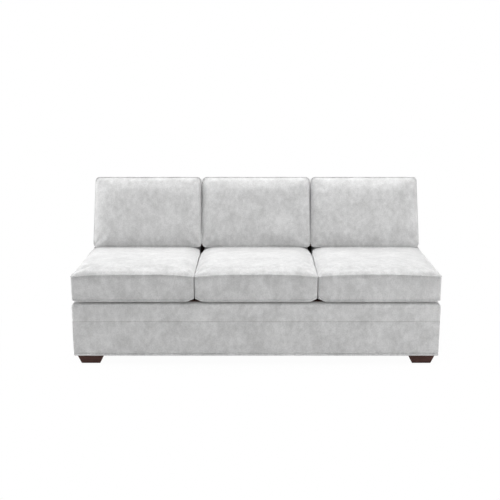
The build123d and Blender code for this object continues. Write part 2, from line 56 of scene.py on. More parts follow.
SIGNS = np.array([(-1, -1), (1, -1), (1, 1), (-1, 1)])  # Corners of a block, round its middle.
BLOCK_FACES = [(3, 2, 1, 0), (4, 5, 6, 7), (0, 1, 5, 4), (1, 2, 6, 5), (2, 3, 7, 6), (3, 0, 4, 7)]


# ---------------------------------------------------------------- colour and nodes
def linear(hex_colour: str) -> tuple[float, float, float, float]:
    """Turns an sRGB hex colour into the linear one that the shader takes.

    Args:
        hex_colour: Six hex digits, with or without a leading #.

    Returns:
        Linear red, green, blue and an alpha of 1.
    """
    digits = hex_colour.lstrip("#")
    srgb = [int(digits[i : i + 2], 16) / 255 for i in (0, 2, 4)]
    return (*[c / 12.92 if c <= 0.04045 else ((c + 0.055) / 1.055) ** 2.4 for c in srgb], 1.0)


def add_node(
    tree: NodeTree,
    kind: str,
    settings: dict[str, object] | None = None,
    values: dict[str | int, object] | None = None,
    links: dict[str | int, NodeSocket] | None = None,
) -> Node:
    """Adds a node, with its settings, its unlinked values and its incoming links.

    Args:
        tree: Node tree to add to.
        kind: Blender's node type.
        settings: Properties of the node itself.
        values: Input sockets by name or index, and what they hold.
        links: Input sockets by name or index, and the output that feeds each.

    Returns:
        The new node.
    """
    node = tree.nodes.new(kind)
    for name, value in (settings or {}).items():
        setattr(node, name, value)
    for key, value in (values or {}).items():
        node.inputs[key].default_value = value
    for key, source in (links or {}).items():
        tree.links.new(source, node.inputs[key])
    return node


@dataclass(frozen=True)
class Finish:
    """A finish with a procedural material."""

    name: str
    roughness: float
    metallic: float = 0.0
    sheen: float = 0.0

    def build(self) -> Material:
        """Makes the material: its uniform values, then the nodes of its own kind.

        Returns:
            The material, with patterns on object coordinates in metres.
        """
        material = bpy.data.materials.new(self.name)
        material.use_nodes = True
        tree = material.node_tree
        shader = tree.nodes["Principled BSDF"]
        shader.inputs["Roughness"].default_value = self.roughness
        shader.inputs["Metallic"].default_value = self.metallic
        shader.inputs["Sheen Weight"].default_value = self.sheen
        at = add_node(tree, "ShaderNodeTexCoord").outputs["Object"]
        self.dress(tree, shader, at)
        return material

    def dress(self, tree: NodeTree, shader: Node, at: NodeSocket) -> None:
        """Adds the nodes of this kind of finish.

        Args:
            tree: Node tree to add to.
            shader: The material's shader.
            at: Coordinates in metres.
        """
        raise NotImplementedError

    @staticmethod
    def pattern(
        tree: NodeTree, at: NodeSocket, size: tuple[float, float, float], detail: float = 2.0
    ) -> NodeSocket:
        """Adds a soft random pattern whose blotches have a real size.

        Args:
            tree: Node tree to add to.
            at: Coordinates in metres.
            size: Blotch size along X, Y and Z, in metres.
            detail: How many finer layers it holds.

        Returns:
            The pattern, from 0 to 1.
        """
        scale = {"Scale": tuple(1 / s for s in size)}
        scaled = add_node(tree, "ShaderNodeMapping", values=scale, links={"Vector": at})
        values = {"Scale": 1.0, "Detail": detail}
        noise = add_node(
            tree, "ShaderNodeTexNoise", values=values, links={"Vector": scaled.outputs[0]}
        )
        return noise.outputs[0]

    @staticmethod
    def paint(
        tree: NodeTree, shader: Node, pattern: NodeSocket, stops: list[tuple[float, str]]
    ) -> None:
        """Colours the shader by a pattern through a ramp.

        Args:
            tree: Node tree to add to.
            shader: The shader to colour.
            pattern: The pattern, from 0 to 1.
            stops: Places along the ramp and their hex colours.
        """
        ramp = add_node(tree, "ShaderNodeValToRGB", links={0: pattern})
        while len(ramp.color_ramp.elements) < len(stops):
            ramp.color_ramp.elements.new(0.5)
        for element, (place, colour) in zip(ramp.color_ramp.elements, stops):
            element.position = place
            element.color = linear(colour)
        tree.links.new(ramp.outputs[0], shader.inputs["Base Color"])

    @staticmethod
    def emboss(
        tree: NodeTree, shader: Node, height: NodeSocket, depth: float, strength: float
    ) -> None:
        """Gives the shader a bump of a real depth.

        Args:
            tree: Node tree to add to.
            shader: The shader to bump.
            height: The pattern, from 0 to 1.
            depth: Height of the pattern in metres.
            strength: Blender's bump strength.
        """
        values = {"Strength": strength, "Distance": depth}
        bump = add_node(tree, "ShaderNodeBump", values=values, links={"Height": height})
        tree.links.new(bump.outputs[0], shader.inputs["Normal"])


@dataclass(frozen=True)
class Velvet(Finish):
    """Cut-pile velvet: short upright polyester pile, brushed by hand in soft patches.

    The pile scatters light, so faces stay even, edges glow a little, and where the pile
    leans another way the cloth is a shade lighter or darker.
    """

    shade: str = "CBCBCB"
    light: str = "DADADA"
    dark: str = "BCBCBC"
    tuft: float = 2 * MM  # Real tufts are 0.3 mm apart; 2 mm is the finest that shows.
    pile: float = 0.8 * MM

    def dress(self, tree: NodeTree, shader: Node, at: NodeSocket) -> None:
        """Adds brushed patches of three sizes, each with its detail and share, and the pile."""
        layers = [
            ((6 * MM, 6 * MM, 7 * MM), 1.0, 0.28),
            ((24 * MM, 27 * MM, 30 * MM), 3.0, 0.36),
            ((90 * MM, 90 * MM, 100 * MM), 2.0, 0.36),
        ]
        total = None
        for size, detail, share in layers:
            patches = {0: self.pattern(tree, at, size, detail)}
            part = add_node(
                tree, "ShaderNodeMath", {"operation": "MULTIPLY_ADD"}, {1: share, 2: 0.0}, patches
            )
            if total is not None:
                tree.links.new(total, part.inputs[2])
            total = part.outputs[0]
        self.paint(tree, shader, total, [(0.36, self.dark), (0.5, self.shade), (0.64, self.light)])
        self.emboss(tree, shader, self.pattern(tree, at, (self.tuft,) * 3), self.pile, 0.3)
        shader.inputs["Sheen Roughness"].default_value = 0.4
        shader.inputs["Specular IOR Level"].default_value = 0.2


@dataclass(frozen=True)
class Woven(Finish):
    """Plain woven or bonded cloth: a lattice of threads, matt, with slight unevenness."""

    shade: str = "69514B"
    light: str = "785E57"
    thread: float = 1.8 * MM
    patch: float = 60 * MM
    depth: float = 0.4 * MM

    def dress(self, tree: NodeTree, shader: Node, at: NodeSocket) -> None:
        """Adds two crossed sine waves, a thread apart, over soft patches."""
        patches = self.pattern(tree, at, (self.patch,) * 3, 3.0)
        self.paint(tree, shader, patches, [(0.35, self.shade), (0.65, self.light)])
        scale = {"Scale": (1 / self.thread,) * 3}
        scaled = add_node(tree, "ShaderNodeMapping", values=scale, links={"Vector": at})
        waves = [
            add_node(
                tree,
                "ShaderNodeTexWave",
                {"wave_type": "BANDS", "bands_direction": direction},
                {"Scale": WAVE_SCALE, "Distortion": 0.6},
                {"Vector": scaled.outputs[0]},
            ).outputs[1]
            for direction in ("X", "DIAGONAL")
        ]
        weave = add_node(
            tree, "ShaderNodeMath", {"operation": "MULTIPLY"}, links=dict(enumerate(waves))
        )
        self.emboss(tree, shader, weave.outputs[0], self.depth, 0.6)
        shader.inputs["Specular IOR Level"].default_value = 0.2


class Grain(Enum):
    """The way a board's grain runs, and the size of a grain band along X, Y and Z."""

    X = (260 * MM, 9 * MM, 9 * MM)
    Y = (9 * MM, 260 * MM, 9 * MM)
    Z = (9 * MM, 9 * MM, 260 * MM)


@dataclass(frozen=True)
class Timber(Finish):
    """Sawn or stained wood: long grain bands along one axis, with fine pores in them."""

    early: str = "C9A878"
    late: str = "A98455"
    grain: Grain = Grain.X
    pore_depth: float = 0.15 * MM
    gloss: float = 0.5

    def dress(self, tree: NodeTree, shader: Node, at: NodeSocket) -> None:
        """Adds noise stretched along the board, with noise a sixth of its size for pores."""
        bands = self.pattern(tree, at, self.grain.value, 4.0)
        pores = self.pattern(tree, at, tuple(size / 6 for size in self.grain.value))
        mixed = add_node(
            tree, "ShaderNodeMix", {"data_type": "FLOAT"}, {0: 0.3}, {2: bands, 3: pores}
        )
        self.paint(tree, shader, mixed.outputs[0], [(0.36, self.late), (0.62, self.early)])
        self.emboss(tree, shader, mixed.outputs[0], self.pore_depth, 0.5)
        shader.inputs["Specular IOR Level"].default_value = self.gloss


@dataclass(frozen=True)
class Grained(Finish):
    """Foam, board, metal or plastic: one colour with fine grain of a real size."""

    shade: str = "888888"
    light: str = "999999"
    grit: tuple[float, float, float] = (3 * MM, 3 * MM, 3 * MM)
    depth: float = 0.2 * MM

    def dress(self, tree: NodeTree, shader: Node, at: NodeSocket) -> None:
        """Adds noise as coarse as the grit."""
        grain = self.pattern(tree, at, self.grit, 3.0)
        self.paint(tree, shader, grain, [(0.35, self.shade), (0.65, self.light)])
        self.emboss(tree, shader, grain, self.depth, 0.5)


# ---------------------------------------------------------------- grids and meshes
def graded(length: float, edge: float, fine: float, coarse: float) -> np.ndarray:
    """Places lattice lines along a side, close together near both ends.

    Args:
        length: Length of the side.
        edge: How far in from each end the lines stay close.
        fine: Their spacing there.
        coarse: Their spacing in between.

    Returns:
        Positions from 0 to length.
    """
    near = np.linspace(0, edge, max(int(round(edge / fine)), 1) + 1)
    middle = np.linspace(edge, length - edge, max(int(round((length - 2 * edge) / coarse)), 1) + 1)
    return np.concatenate([near, middle[1:-1], length - near[::-1]])


def grid_faces(rows: int, columns: int, closed: bool = False) -> np.ndarray:
    """Quads of a grid whose points are numbered row by row.

    Args:
        rows: Number of rows of points.
        columns: Points in a row.
        closed: Whether the last column joins the first.

    Returns:
        One row of four point numbers per quad.
    """
    steps = columns if closed else columns - 1
    i, j = np.meshgrid(np.arange(rows - 1), np.arange(steps), indexing="ij")
    k = (j + 1) % columns
    quads = [i * columns + j, i * columns + k, (i + 1) * columns + k, (i + 1) * columns + j]
    return np.stack(quads, axis=-1).reshape(-1, 4)


def make_piece(
    name: str,
    points: np.ndarray,
    faces: list,
    material: Material,
    body: str,
    slot: str,
    replaced: tuple[str, ...] = (),
) -> Object:
    """Makes a smooth mesh piece that rides on a body, its faces pointing outwards.

    Args:
        name: Name of the piece.
        points: Its points in metres, in the sofa's frame.
        faces: Point numbers of each face.
        material: Its material.
        body: The CAD body it moves with.
        slot: The record's material slot; not used.
        replaced: CAD nodes that it stands for.

    Returns:
        The new object.
    """
    mesh = bpy.data.meshes.new(name)
    mesh.from_pydata(points.tolist(), [], [list(f) for f in faces])
    shell = bmesh.new()
    shell.from_mesh(mesh)
    bmesh.ops.remove_doubles(shell, verts=shell.verts, dist=1e-6)
    bmesh.ops.recalc_face_normals(shell, faces=shell.faces)
    shell.to_mesh(mesh)
    shell.free()
    mesh.shade_smooth()
    mesh.materials.append(material)
    piece = bpy.data.objects.new(name, mesh)
    bpy.context.scene.collection.objects.link(piece)
    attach(piece, body)
    if replaced:
        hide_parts(*replaced)
    LOG.info("%s: %d faces", name, len(mesh.polygons))
    return piece


def smooth(piece: Object, levels: int = 1) -> None:
    """Adds a subdivision surface with the same levels in the view and the render."""
    modifier = piece.modifiers.new("Smooth", "SUBSURF")
    modifier.levels = modifier.render_levels = levels


def thicken(piece: Object, thickness: float) -> None:
    """Gives a sheet its thickness, half on either side."""
    modifier = piece.modifiers.new("Thickness", "SOLIDIFY")
    modifier.thickness, modifier.offset = thickness, 0.0


def coordinates(mesh: Mesh) -> np.ndarray:
    """Reads a mesh's points as rows of three."""
    flat = np.empty(len(mesh.vertices) * 3)
    mesh.vertices.foreach_get("co", flat)
    return flat.reshape(-1, 3)


def tube(
    path: np.ndarray, width: float, height: float | None = None, sides: int = 8
) -> tuple[np.ndarray, np.ndarray]:
    """Carries an oval round a closed path.

    Each oval lies across the path: its width runs along the path's direction crossed with
    the vertical (or with Y where the path is upright), its height across both.

    Args:
        path: Points of the closed path.
        width: Half the oval's width, or its radius where it has no height.
        height: Half its height.
        sides: Points on the oval.

    Returns:
        The tube's points and quads.
    """
    ahead = np.roll(path, -1, axis=0) - np.roll(path, 1, axis=0)
    ahead /= np.linalg.norm(ahead, axis=1, keepdims=True)
    guide = np.where(np.abs(ahead[:, 2:]) > 0.9, [[0.0, 1.0, 0.0]], [[0.0, 0.0, 1.0]])
    across = np.cross(ahead, guide)
    across /= np.linalg.norm(across, axis=1, keepdims=True)
    upward = np.cross(across, ahead)
    angle = np.linspace(0, 2 * np.pi, sides, endpoint=False)[None, :, None]
    sideways = width * np.cos(angle) * across[:, None]
    upright = (height or width) * np.sin(angle) * upward[:, None]
    points = (path[:, None] + (sideways + upright)).reshape(-1, 3)
    return points, grid_faces(len(path) + 1, sides, closed=True) % len(points)


def rectangle(
    x: float, y_low: float, y_high: float, z: float, radius: float, step: float
) -> np.ndarray:
    """Points round a level rectangle with rounded corners.

    Args:
        x: Half its width.
        y_low: Y of its front.
        y_high: Y of its rear.
        z: Its level.
        radius: Radius of its corners.
        step: Spacing of the points along its sides.

    Returns:
        The points, in order.
    """
    turn = np.linspace(0, np.pi / 2, 6)
    centres = [(x, y_high), (-x, y_high), (-x, y_low), (x, y_low)]
    arcs = []
    for quadrant, (cx, cy) in enumerate(centres):
        inward = radius if quadrant > 1 else -radius
        centre = np.array([cx - math.copysign(radius, cx), cy + inward])
        angle = turn + quadrant * np.pi / 2
        arcs.append(centre + radius * np.column_stack([np.cos(angle), np.sin(angle)]))
    plan = []
    for arc, following in zip(arcs, arcs[1:] + arcs[:1]):
        count = max(int(np.linalg.norm(following[0] - arc[-1]) / step), 1)
        run = np.linspace(0, 1, count + 1)[1:-1, None]
        plan += [arc, arc[-1] + run * (following[0] - arc[-1])]
    plan = np.concatenate(plan)
    return np.column_stack([plan, np.full(len(plan), z)])


# ---------------------------------------------------------------- shared sizes
@dataclass(frozen=True)
class Outline:
    """The sofa's planes and levels, those of the CAD solids unless a comment says otherwise."""

    front: float = -479.0785 * MM
    rear: float = 479.0785 * MM
    side: float = 965 * MM
    rail_bottom: float = 51 * MM
    spring_top: float = 302.1 * MM
    clip_top: float = 304 * MM
    cloth_bottom: float = 337 * MM
    frame_side: float = 953 * MM
    frame_front: float = -467.0785 * MM
    deck_top: float = 339 * MM
    foot_of_back: float = 505.3 * MM
    roll_bottom: float = 838 * MM
    back_height: float = 850 * MM
    seat_depth: float = 624 * MM
    seat_inset: float = 6 * MM  # The solids keep 10; the swollen cushions come further forward.
    soft_gap: float = 0.3 * MM
    back_thickness: float = 185.3 * MM
    inside_rake: float = math.radians(12)
    outside_rake: float = math.radians(6)

    def inside_y(self, z: float | np.ndarray, inset: float = 0.0) -> float | np.ndarray:
        """Y of the leaning inside back at a height, or of a layer behind it."""
        lean = self.inside_rake
        start = self.front + self.seat_depth + self.back_thickness / math.cos(lean)
        return start + (z - self.foot_of_back) * math.tan(lean) + inset / math.cos(lean)

    def outside_y(self, z: float | np.ndarray, inset: float = 0.0) -> float | np.ndarray:
        """Y of the leaning rear face at a height, or of a layer in front of it."""
        tilt = self.outside_rake
        return self.rear - (self.roll_bottom - z) * math.tan(tilt) - inset / math.cos(tilt)


SOFA = Outline()
ROOT = "sofa_frame"


class Place(Enum):
    """The three cushion places, from the viewer's left."""

    LEFT = -1
    MIDDLE = 0
    RIGHT = 1

    @property
    def word(self) -> str:
        """The word that the CAD names begin with."""
        return self.name.lower()


# ---------------------------------------------------------------- cushions
def quarter(share: np.ndarray) -> np.ndarray:
    """Rises as a quarter circle does, sqrt(1 - (1 - s)^2), from 0 at s = 0 to 1 at s = 1."""
    return np.sqrt(1 - (1 - np.clip(share, 0, 1)) ** 2)


def smoothstep(share: np.ndarray) -> np.ndarray:
    """Rises as s^2 (3 - 2 s), from 0 at s = 0 to 1 at s = 1."""
    share = np.clip(share, 0, 1)
    return share**2 * (3 - 2 * share)


@dataclass
class Cushion:
    """A boxed cushion: a crowned panel, a boxing that draws in between its corners, a flat panel.

    Its lattice is the surface of a block of lattice lines. Its own axes are across, along
    and up through the crown.
    """

    place: Place
    velvet: Material
    kind: str = "seat"
    width: float = 639.667 * MM
    gap: float = 3 * MM  # To the next cushion.
    length: float = 765.6 * MM
    boxing: float = 143.7 * MM
    crown: float = 32 * MM
    shoulder: float = 62 * MM
    corner: float = 10 * MM
    lower_round: float = 8 * MM
    pull: float = 3 * MM
    droop: float = 4 * MM
    lift: float = 8.5 * MM
    foot_shoulder: float = 45 * MM
    corner_lift: float = 22 * MM
    corner_reach: float = 40 * MM
    outer_corner: float = 0.25  # Share of the corner lift on a side with no neighbour.
    swell: float = 7 * MM
    slack: float = 4 * MM
    squash: float = 1.2 * MM  # How far a side swells past its own width.
    frames: int = 20
    seed: int = 7
    dent: float = 0.7 * MM
    dent_lengths: tuple[float, float] = (0.16, 0.42)
    spacing: tuple[float, float] = (6 * MM, 14 * MM)  # Of lattice lines, near an edge and between.
    edge_zone: tuple[float, float] = (36 * MM, 18 * MM)  # Of the panels and of the boxing.
    placket_half: float = 256 * MM
    placket_width: float = 16 * MM
    placket_edge: float = 5 * MM
    welt: float = 3.6 * MM
    welt_place: tuple[float, float, float] = (-0.65, 0.8, 0.1)
    fill: float = 0.85

    @property
    def name(self) -> str:
        """The name that its CAD nodes share."""
        return f"{self.place.word}_{self.kind}"

    @property
    def body(self) -> str:
        """The CAD body that it rides on."""
        return f"{self.name}_cushion"

    @property
    def centre_x(self) -> float:
        """X of its middle."""
        return self.place.value * (self.width + self.gap)

    @property
    def half(self) -> np.ndarray:
        """Half its width and half its length."""
        return np.array([self.width, self.length]) / 2

    def neighbour(self, x: np.ndarray) -> np.ndarray:
        """Tells, as 0 or 1, whether another cushion lies beyond the side that x is on."""
        return np.where(x < 0, self.place is not Place.LEFT, self.place is not Place.RIGHT)

    def axes(self) -> tuple[np.ndarray, np.ndarray]:
        """Gives its place.

        Returns:
            The middle of its lower face, and its across, along and up directions as rows.
        """
        raise NotImplementedError

    def settle(self, local: np.ndarray) -> np.ndarray:
        """Keeps the cushion in its own space, flat where it rests on something.

        Args:
            local: Points in the cushion's own axes.

        Returns:
            The points, flattened where they would go too far.
        """
        raise NotImplementedError

    def placket(self, local: np.ndarray) -> np.ndarray:
        """Presses in the placket that the zip lies in."""
        raise NotImplementedError

    def lattice(self) -> tuple[np.ndarray, np.ndarray]:
        """Builds the surface of a block of lattice lines.

        Returns:
            Each point's position in the block as shares from 0 to 1, and the quads.
        """
        panel, wall = self.edge_zone
        a = graded(self.width, panel, *self.spacing) / self.width
        b = graded(self.length, panel, *self.spacing) / self.length
        c = graded(self.boxing, wall, *self.spacing) / self.boxing
        ends = [0.0, 1.0]
        sides = [np.stack(np.meshgrid(a, b, [end], indexing="ij"), -1)[:, :, 0] for end in ends]
        sides += [np.stack(np.meshgrid(a, [end], c, indexing="ij"), -1)[:, 0] for end in ends]
        sides += [np.stack(np.meshgrid([end], b, c, indexing="ij"), -1)[0] for end in ends]
        faces, first = [], 0
        for side in sides:
            faces.append(grid_faces(*side.shape[:2]) + first)
            first += side.shape[0] * side.shape[1]
        shares = np.concatenate([side.reshape(-1, 3) for side in sides])
        unique, number = np.unique(shares.round(7), axis=0, return_inverse=True)
        return unique, number.reshape(-1)[np.concatenate(faces)]

    @staticmethod
    def seam(shares: np.ndarray, end: float) -> np.ndarray:
        """Finds the points round a panel.

        Args:
            shares: Positions in the lattice block.
            end: 1 for the crowned panel, 0 for the other one.

        Returns:
            Numbers of the points, in order round the panel.
        """
        plan = shares[:, :2]
        edge = np.flatnonzero((shares[:, 2] == end) & ((plan == 0) | (plan == 1)).any(1))
        around = np.arctan2(shares[edge, 1] - 0.5, shares[edge, 0] - 0.5)
        return edge[np.argsort(around)]

    def seam_height(self, t: np.ndarray) -> np.ndarray:
        """Height of the upper seam: it droops towards its corners, as |tx ty|^3."""
        return self.boxing - self.droop * np.abs(t[:, 0] * t[:, 1]) ** 3

    def crown_height(self, t: np.ndarray) -> np.ndarray:
        """Height that the crowned panel reaches away from its seams."""
        return np.full(len(t), self.boxing + self.crown)

    def top_height(self, t: np.ndarray) -> np.ndarray:
        """Height of the crowned panel.

        From the seam it rises to the crown by a quarter circle across times one along, each
        as wide as the shoulder.

        Args:
            t: Positions across and along, from -1 to 1.

        Returns:
            Heights over the lower face.
        """
        rise = quarter((1 - np.abs(t)) * self.half / self.shoulder).prod(1)
        seam = self.seam_height(t)
        return seam + (self.crown_height(t) - seam) * rise

    def foot_height(self, t: np.ndarray) -> np.ndarray:
        """Height of the lower panel, which lifts towards its edge and more at its corners."""
        inward = (1 - np.abs(t)) * self.half
        edge = 1 - quarter(inward / self.foot_shoulder).prod(1)
        corner = np.clip(1 - inward / self.corner_reach, 0, 1).prod(1) ** 1.5
        share = np.where(self.neighbour(t[:, 0]), 1.0, self.outer_corner)
        return self.lift * edge + self.corner_lift * share * corner

    def shape(self, shares: np.ndarray) -> np.ndarray:
        """Turns lattice shares into the cushion's form, in its own axes.

        Heights run from the lower panel to the crowned one. The sides draw in by the pull
        times 1 - t^2 between the corners. Square corners are squeezed onto circles.

        Args:
            shares: Positions in the lattice block.

        Returns:
            Points in metres, in the cushion's own axes.
        """
        t = 2 * shares[:, :2] - 1
        low, high = self.foot_height(t), self.top_height(t)
        height = low + shares[:, 2] * (high - low)
        plan = t * self.half - self.pull * (1 - t[:, ::-1] ** 2) * np.abs(t) ** 12 * np.sign(t)
        plan = squeeze(plan, self.half, self.corner)
        for axis in (0, 1):
            side = np.stack([plan[:, axis], self.boxing - (height - low)], -1)
            side = squeeze(side, np.array([self.half[axis], self.boxing]), self.lower_round, True)
            plan[:, axis], height = side[:, 0], self.boxing - side[:, 1] + low
        return np.column_stack([plan, height])

    def inflate(self, piece: Object, pinned: np.ndarray) -> np.ndarray:
        """Lets the cloth swell under pressure, and keeps a soft limit on how far it goes.

        The limit is swell * tanh(distance / swell) along each point's own way.

        Args:
            piece: The cushion's mesh object.
            pinned: Numbers of the points that the seams hold.

        Returns:
            How far each point goes.
        """
        group = piece.vertex_groups.new(name="seam")
        group.add(pinned.tolist(), 1.0, "REPLACE")
        cloth = piece.modifiers.new("Cloth", "CLOTH")
        settings = cloth.settings
        settings.quality = 6
        settings.mass = 0.4
        settings.tension_stiffness = settings.compression_stiffness = 25
        settings.shear_stiffness = 12
        settings.bending_stiffness = 2
        settings.use_pressure = True
        settings.uniform_pressure_force = 4.0
        settings.effector_weights.gravity = 0.0
        settings.vertex_group_mass = group.name
        cloth.collision_settings.use_collision = False
        scene = bpy.context.scene
        scene.frame_start, scene.frame_end = 1, self.frames
        for frame_number in range(1, self.frames + 1):
            scene.frame_set(frame_number)
        settled = piece.evaluated_get(bpy.context.evaluated_depsgraph_get())
        moved = coordinates(settled.data) - coordinates(piece.data)
        piece.modifiers.remove(cloth)
        piece.vertex_groups.clear()
        scene.frame_set(1)
        far = np.linalg.norm(moved, axis=1, keepdims=True)
        LOG.info("%s: swelled up to %.1f mm", piece.name, far.max() / MM)
        return moved * (self.swell * np.tanh(far / self.swell) / np.maximum(far, 1e-9))

    def unevenness(self, local: np.ndarray) -> np.ndarray:
        """Adds the small dents of a cushion that is plumped by hand.

        They are four waves over the crowned panel, each as high as the dent times a sine
        across and one along, with seeded lengths and phases.

        Args:
            local: Points in the cushion's own axes.

        Returns:
            How much higher each point is.
        """
        random = np.random.default_rng(self.seed + 3 * self.place.value)
        lengths = random.uniform(*self.dent_lengths, (4, 2))
        phases = random.uniform(0, 2 * np.pi, (4, 2))
        height = np.zeros(len(local))
        for length, phase in zip(lengths, phases):
            height += self.dent * np.sin(local[:, :2] * 2 * np.pi / length + phase).prod(1)
        return height * (local[:, 2] > 0.9 * self.boxing)

    def in_placket(self, local: np.ndarray, from_zip: np.ndarray) -> np.ndarray:
        """Tells how much each point lies in the placket, fading from 1 to 0 over its edge.

        Args:
            local: Points in the cushion's own axes.
            from_zip: How far each lies from the zip's line.

        Returns:
            Shares from 0 to 1.
        """
        inside = np.stack(
            [self.placket_half - np.abs(local[:, 0]), self.placket_width - np.abs(from_zip)]
        )
        return np.clip(inside / self.placket_edge, 0, 1).prod(0)

    def build(self) -> None:
        """Makes the cushion and the welts round its two panels."""
        origin, rows = self.axes()
        shares, quads = self.lattice()
        upper, lower = self.seam(shares, 1.0), self.seam(shares, 0.0)
        local = self.shape(shares)
        nodes = (f"{self.name}_cover", f"{self.name}_core")
        place = origin + local @ rows
        look = (self.velvet, self.body, "cover_fabric")
        piece = make_piece(f"{self.name}_cushion_cover", place, quads, *look, nodes)
        inner = local.copy()
        from_edge = ((1 - np.abs(2 * shares[:, :2] - 1)) * self.half).min(1)
        inner[:, 2] -= self.slack * (shares[:, 2] == 1) * smoothstep(from_edge / self.shoulder)
        piece.data.vertices.foreach_set("co", (origin + inner @ rows).ravel())
        local = inner + self.inflate(piece, np.concatenate([upper, lower])) @ rows.T
        local[:, 2] += self.unevenness(local)
        local = self.placket(self.settle(local))
        piece.data.vertices.foreach_set("co", (origin + local @ rows).ravel())
        piece.data.update()
        smooth(piece)
        for word, line, turned in (("upper", upper, 1.0), ("lower", lower, -1.0)):
            path = local[line]
            outward = np.sign(path[:, :2]) * (np.abs(path[:, :2]) > self.half - 1.5 * self.corner)
            offset = np.column_stack([outward, np.full(len(line), turned)]) * self.welt_place
            round_panel = origin + (path + self.welt * offset) @ rows
            make_piece(f"{self.name}_{word}_welt", *tube(round_panel, self.welt), *look)


def squeeze(
    points: np.ndarray, half: np.ndarray, radius: float, one_sided: bool = False
) -> np.ndarray:
    """Squeezes the corners of a rectangle onto circles.

    Within the radius of both sides, a point at (dx, dy) from the circle's centre moves
    to the same direction at a distance of max(dx, dy).

    Args:
        points: Points in the rectangle's plane.
        half: Half its width and height.
        radius: Radius of the circles.
        one_sided: Whether the second axis has a corner only at its high end.

    Returns:
        The moved points.
    """
    sign = np.sign(points)
    if one_sided:
        sign[:, 1] = 1
    beyond = np.maximum(points * sign - (half - radius), 0)
    reach = np.linalg.norm(beyond, axis=1)
    both = (beyond > 0).all(1)
    scale = np.where(both, beyond.max(1) / np.maximum(reach, 1e-9), 1.0)
    return points - sign * beyond * (1 - scale[:, None])


@dataclass
class SeatCushion(Cushion):
    """A loose seat cushion, its zip across the rear boxing."""

    bow: float = 8 * MM
    sag: float = 28 * MM
    sag_start: float = -0.5  # Shares of half the length, from the middle towards the rear.
    sag_end: float = 0.65
    rear_droop: float = 12 * MM
    rear_taper: float = 12 * MM
    taper_start: float = 0.3
    taper_run: float = 0.5
    rest_start: float = 0.3
    rest_run: float = 0.3
    side_dip: float = 40 * MM
    rear_swell: float = 3 * MM
    top_spare: float = 1.5 * MM  # How far the top may swell, where no back cushion rests.
    placket_depth: float = 12 * MM
    zip_depth: float = 11.5 * MM

    def axes(self) -> tuple[np.ndarray, np.ndarray]:
        """Gives its place: flat on the deck.

        Returns:
            The middle of its lower face, and its own directions as rows.
        """
        y = SOFA.front + SOFA.seat_inset + self.length / 2
        return np.array([self.centre_x, y, SOFA.deck_top + SOFA.soft_gap]), np.eye(3)

    def zip_axes(self) -> tuple[np.ndarray, np.ndarray]:
        """Gives the zip's place: in the middle of the rear boxing, facing backwards.

        Returns:
            The middle of its tape, and its along, across and outward directions as rows.
        """
        origin, _ = self.axes()
        middle = origin + [0, self.length / 2 - self.zip_depth, self.boxing / 2]
        return middle, np.array([[1.0, 0.0, 0.0], [0.0, 0.0, -1.0], [0.0, 1.0, 0.0]])

    def seam_height(self, t: np.ndarray) -> np.ndarray:
        """Height of the upper seam.

        The front and rear seams bow up in the middle and fall as |tx|^3 to the corners. Side
        seams next to another cushion also fall, by a smooth step, towards the rear.
        """
        side = np.abs(t[:, 0])
        rear = smoothstep(t[:, 1] / self.sag_end) * self.neighbour(t[:, 0])
        fall = (self.bow + self.droop) * side**3 + self.rear_droop * rear * side**6
        return self.boxing + self.bow - fall

    def crown_height(self, t: np.ndarray) -> np.ndarray:
        """Height of the crown, which sags under the back cushion by a smooth step."""
        pressed = smoothstep((t[:, 1] - self.sag_start) / (self.sag_end - self.sag_start))
        return self.boxing + self.crown - self.sag * pressed

    def shape(self, shares: np.ndarray) -> np.ndarray:
        """Shapes the block as any cushion, and draws its inner sides in towards the rear.

        Args:
            shares: Positions in the lattice block.

        Returns:
            Points in metres, in the cushion's own axes.
        """
        local = super().shape(shares)
        rearward = local[:, 1] / self.half[1] - self.taper_start
        taper = self.rear_taper * smoothstep(rearward / self.taper_run)
        drawn = taper * self.neighbour(local[:, 0])
        local[:, 0] *= 1 - drawn / self.half[0]
        return local

    def surface(self, x: np.ndarray, y: np.ndarray) -> np.ndarray:
        """Level of the cushion's top at places in plan, away from the dip along its sides.

        Args:
            x: How far to the right of its middle.
            y: Y in the sofa's frame.

        Returns:
            Z in the sofa's frame.
        """
        origin, _ = self.axes()
        t = np.column_stack([x, y - origin[1]]) / self.half
        t = np.clip(t, -1, 1) * [1 - self.side_dip / self.half[0], 1]
        return origin[2] + self.top_height(t)

    def settle(self, local: np.ndarray) -> np.ndarray:
        """Flattens the sides on the next cushions, the foot on the deck, the top under the back.

        Args:
            local: Points in the cushion's own axes.

        Returns:
            The points, kept in the cushion's own space.
        """
        local = local.copy()
        limit = self.half + [self.squash, self.rear_swell]
        local[:, :2] = np.clip(local[:, :2], -limit, limit)
        top = self.top_height(np.clip(local[:, :2] / self.half, -1, 1))
        free = 1 - smoothstep((local[:, 1] / self.half[1] - self.rest_start) / self.rest_run)
        local[:, 2] = np.clip(local[:, 2], 0, top + (self.top_spare * free + SOFA.soft_gap))
        return local

    def placket(self, local: np.ndarray) -> np.ndarray:
        """Presses in the zip's placket, a slot along the middle of the rear boxing."""
        local = local.copy()
        floor = self.half[1] - self.placket_depth
        share = self.in_placket(local, local[:, 2] - self.boxing / 2)
        local[:, 1] += share * np.minimum(floor - local[:, 1], 0) * (local[:, 1] > 0)
        return local


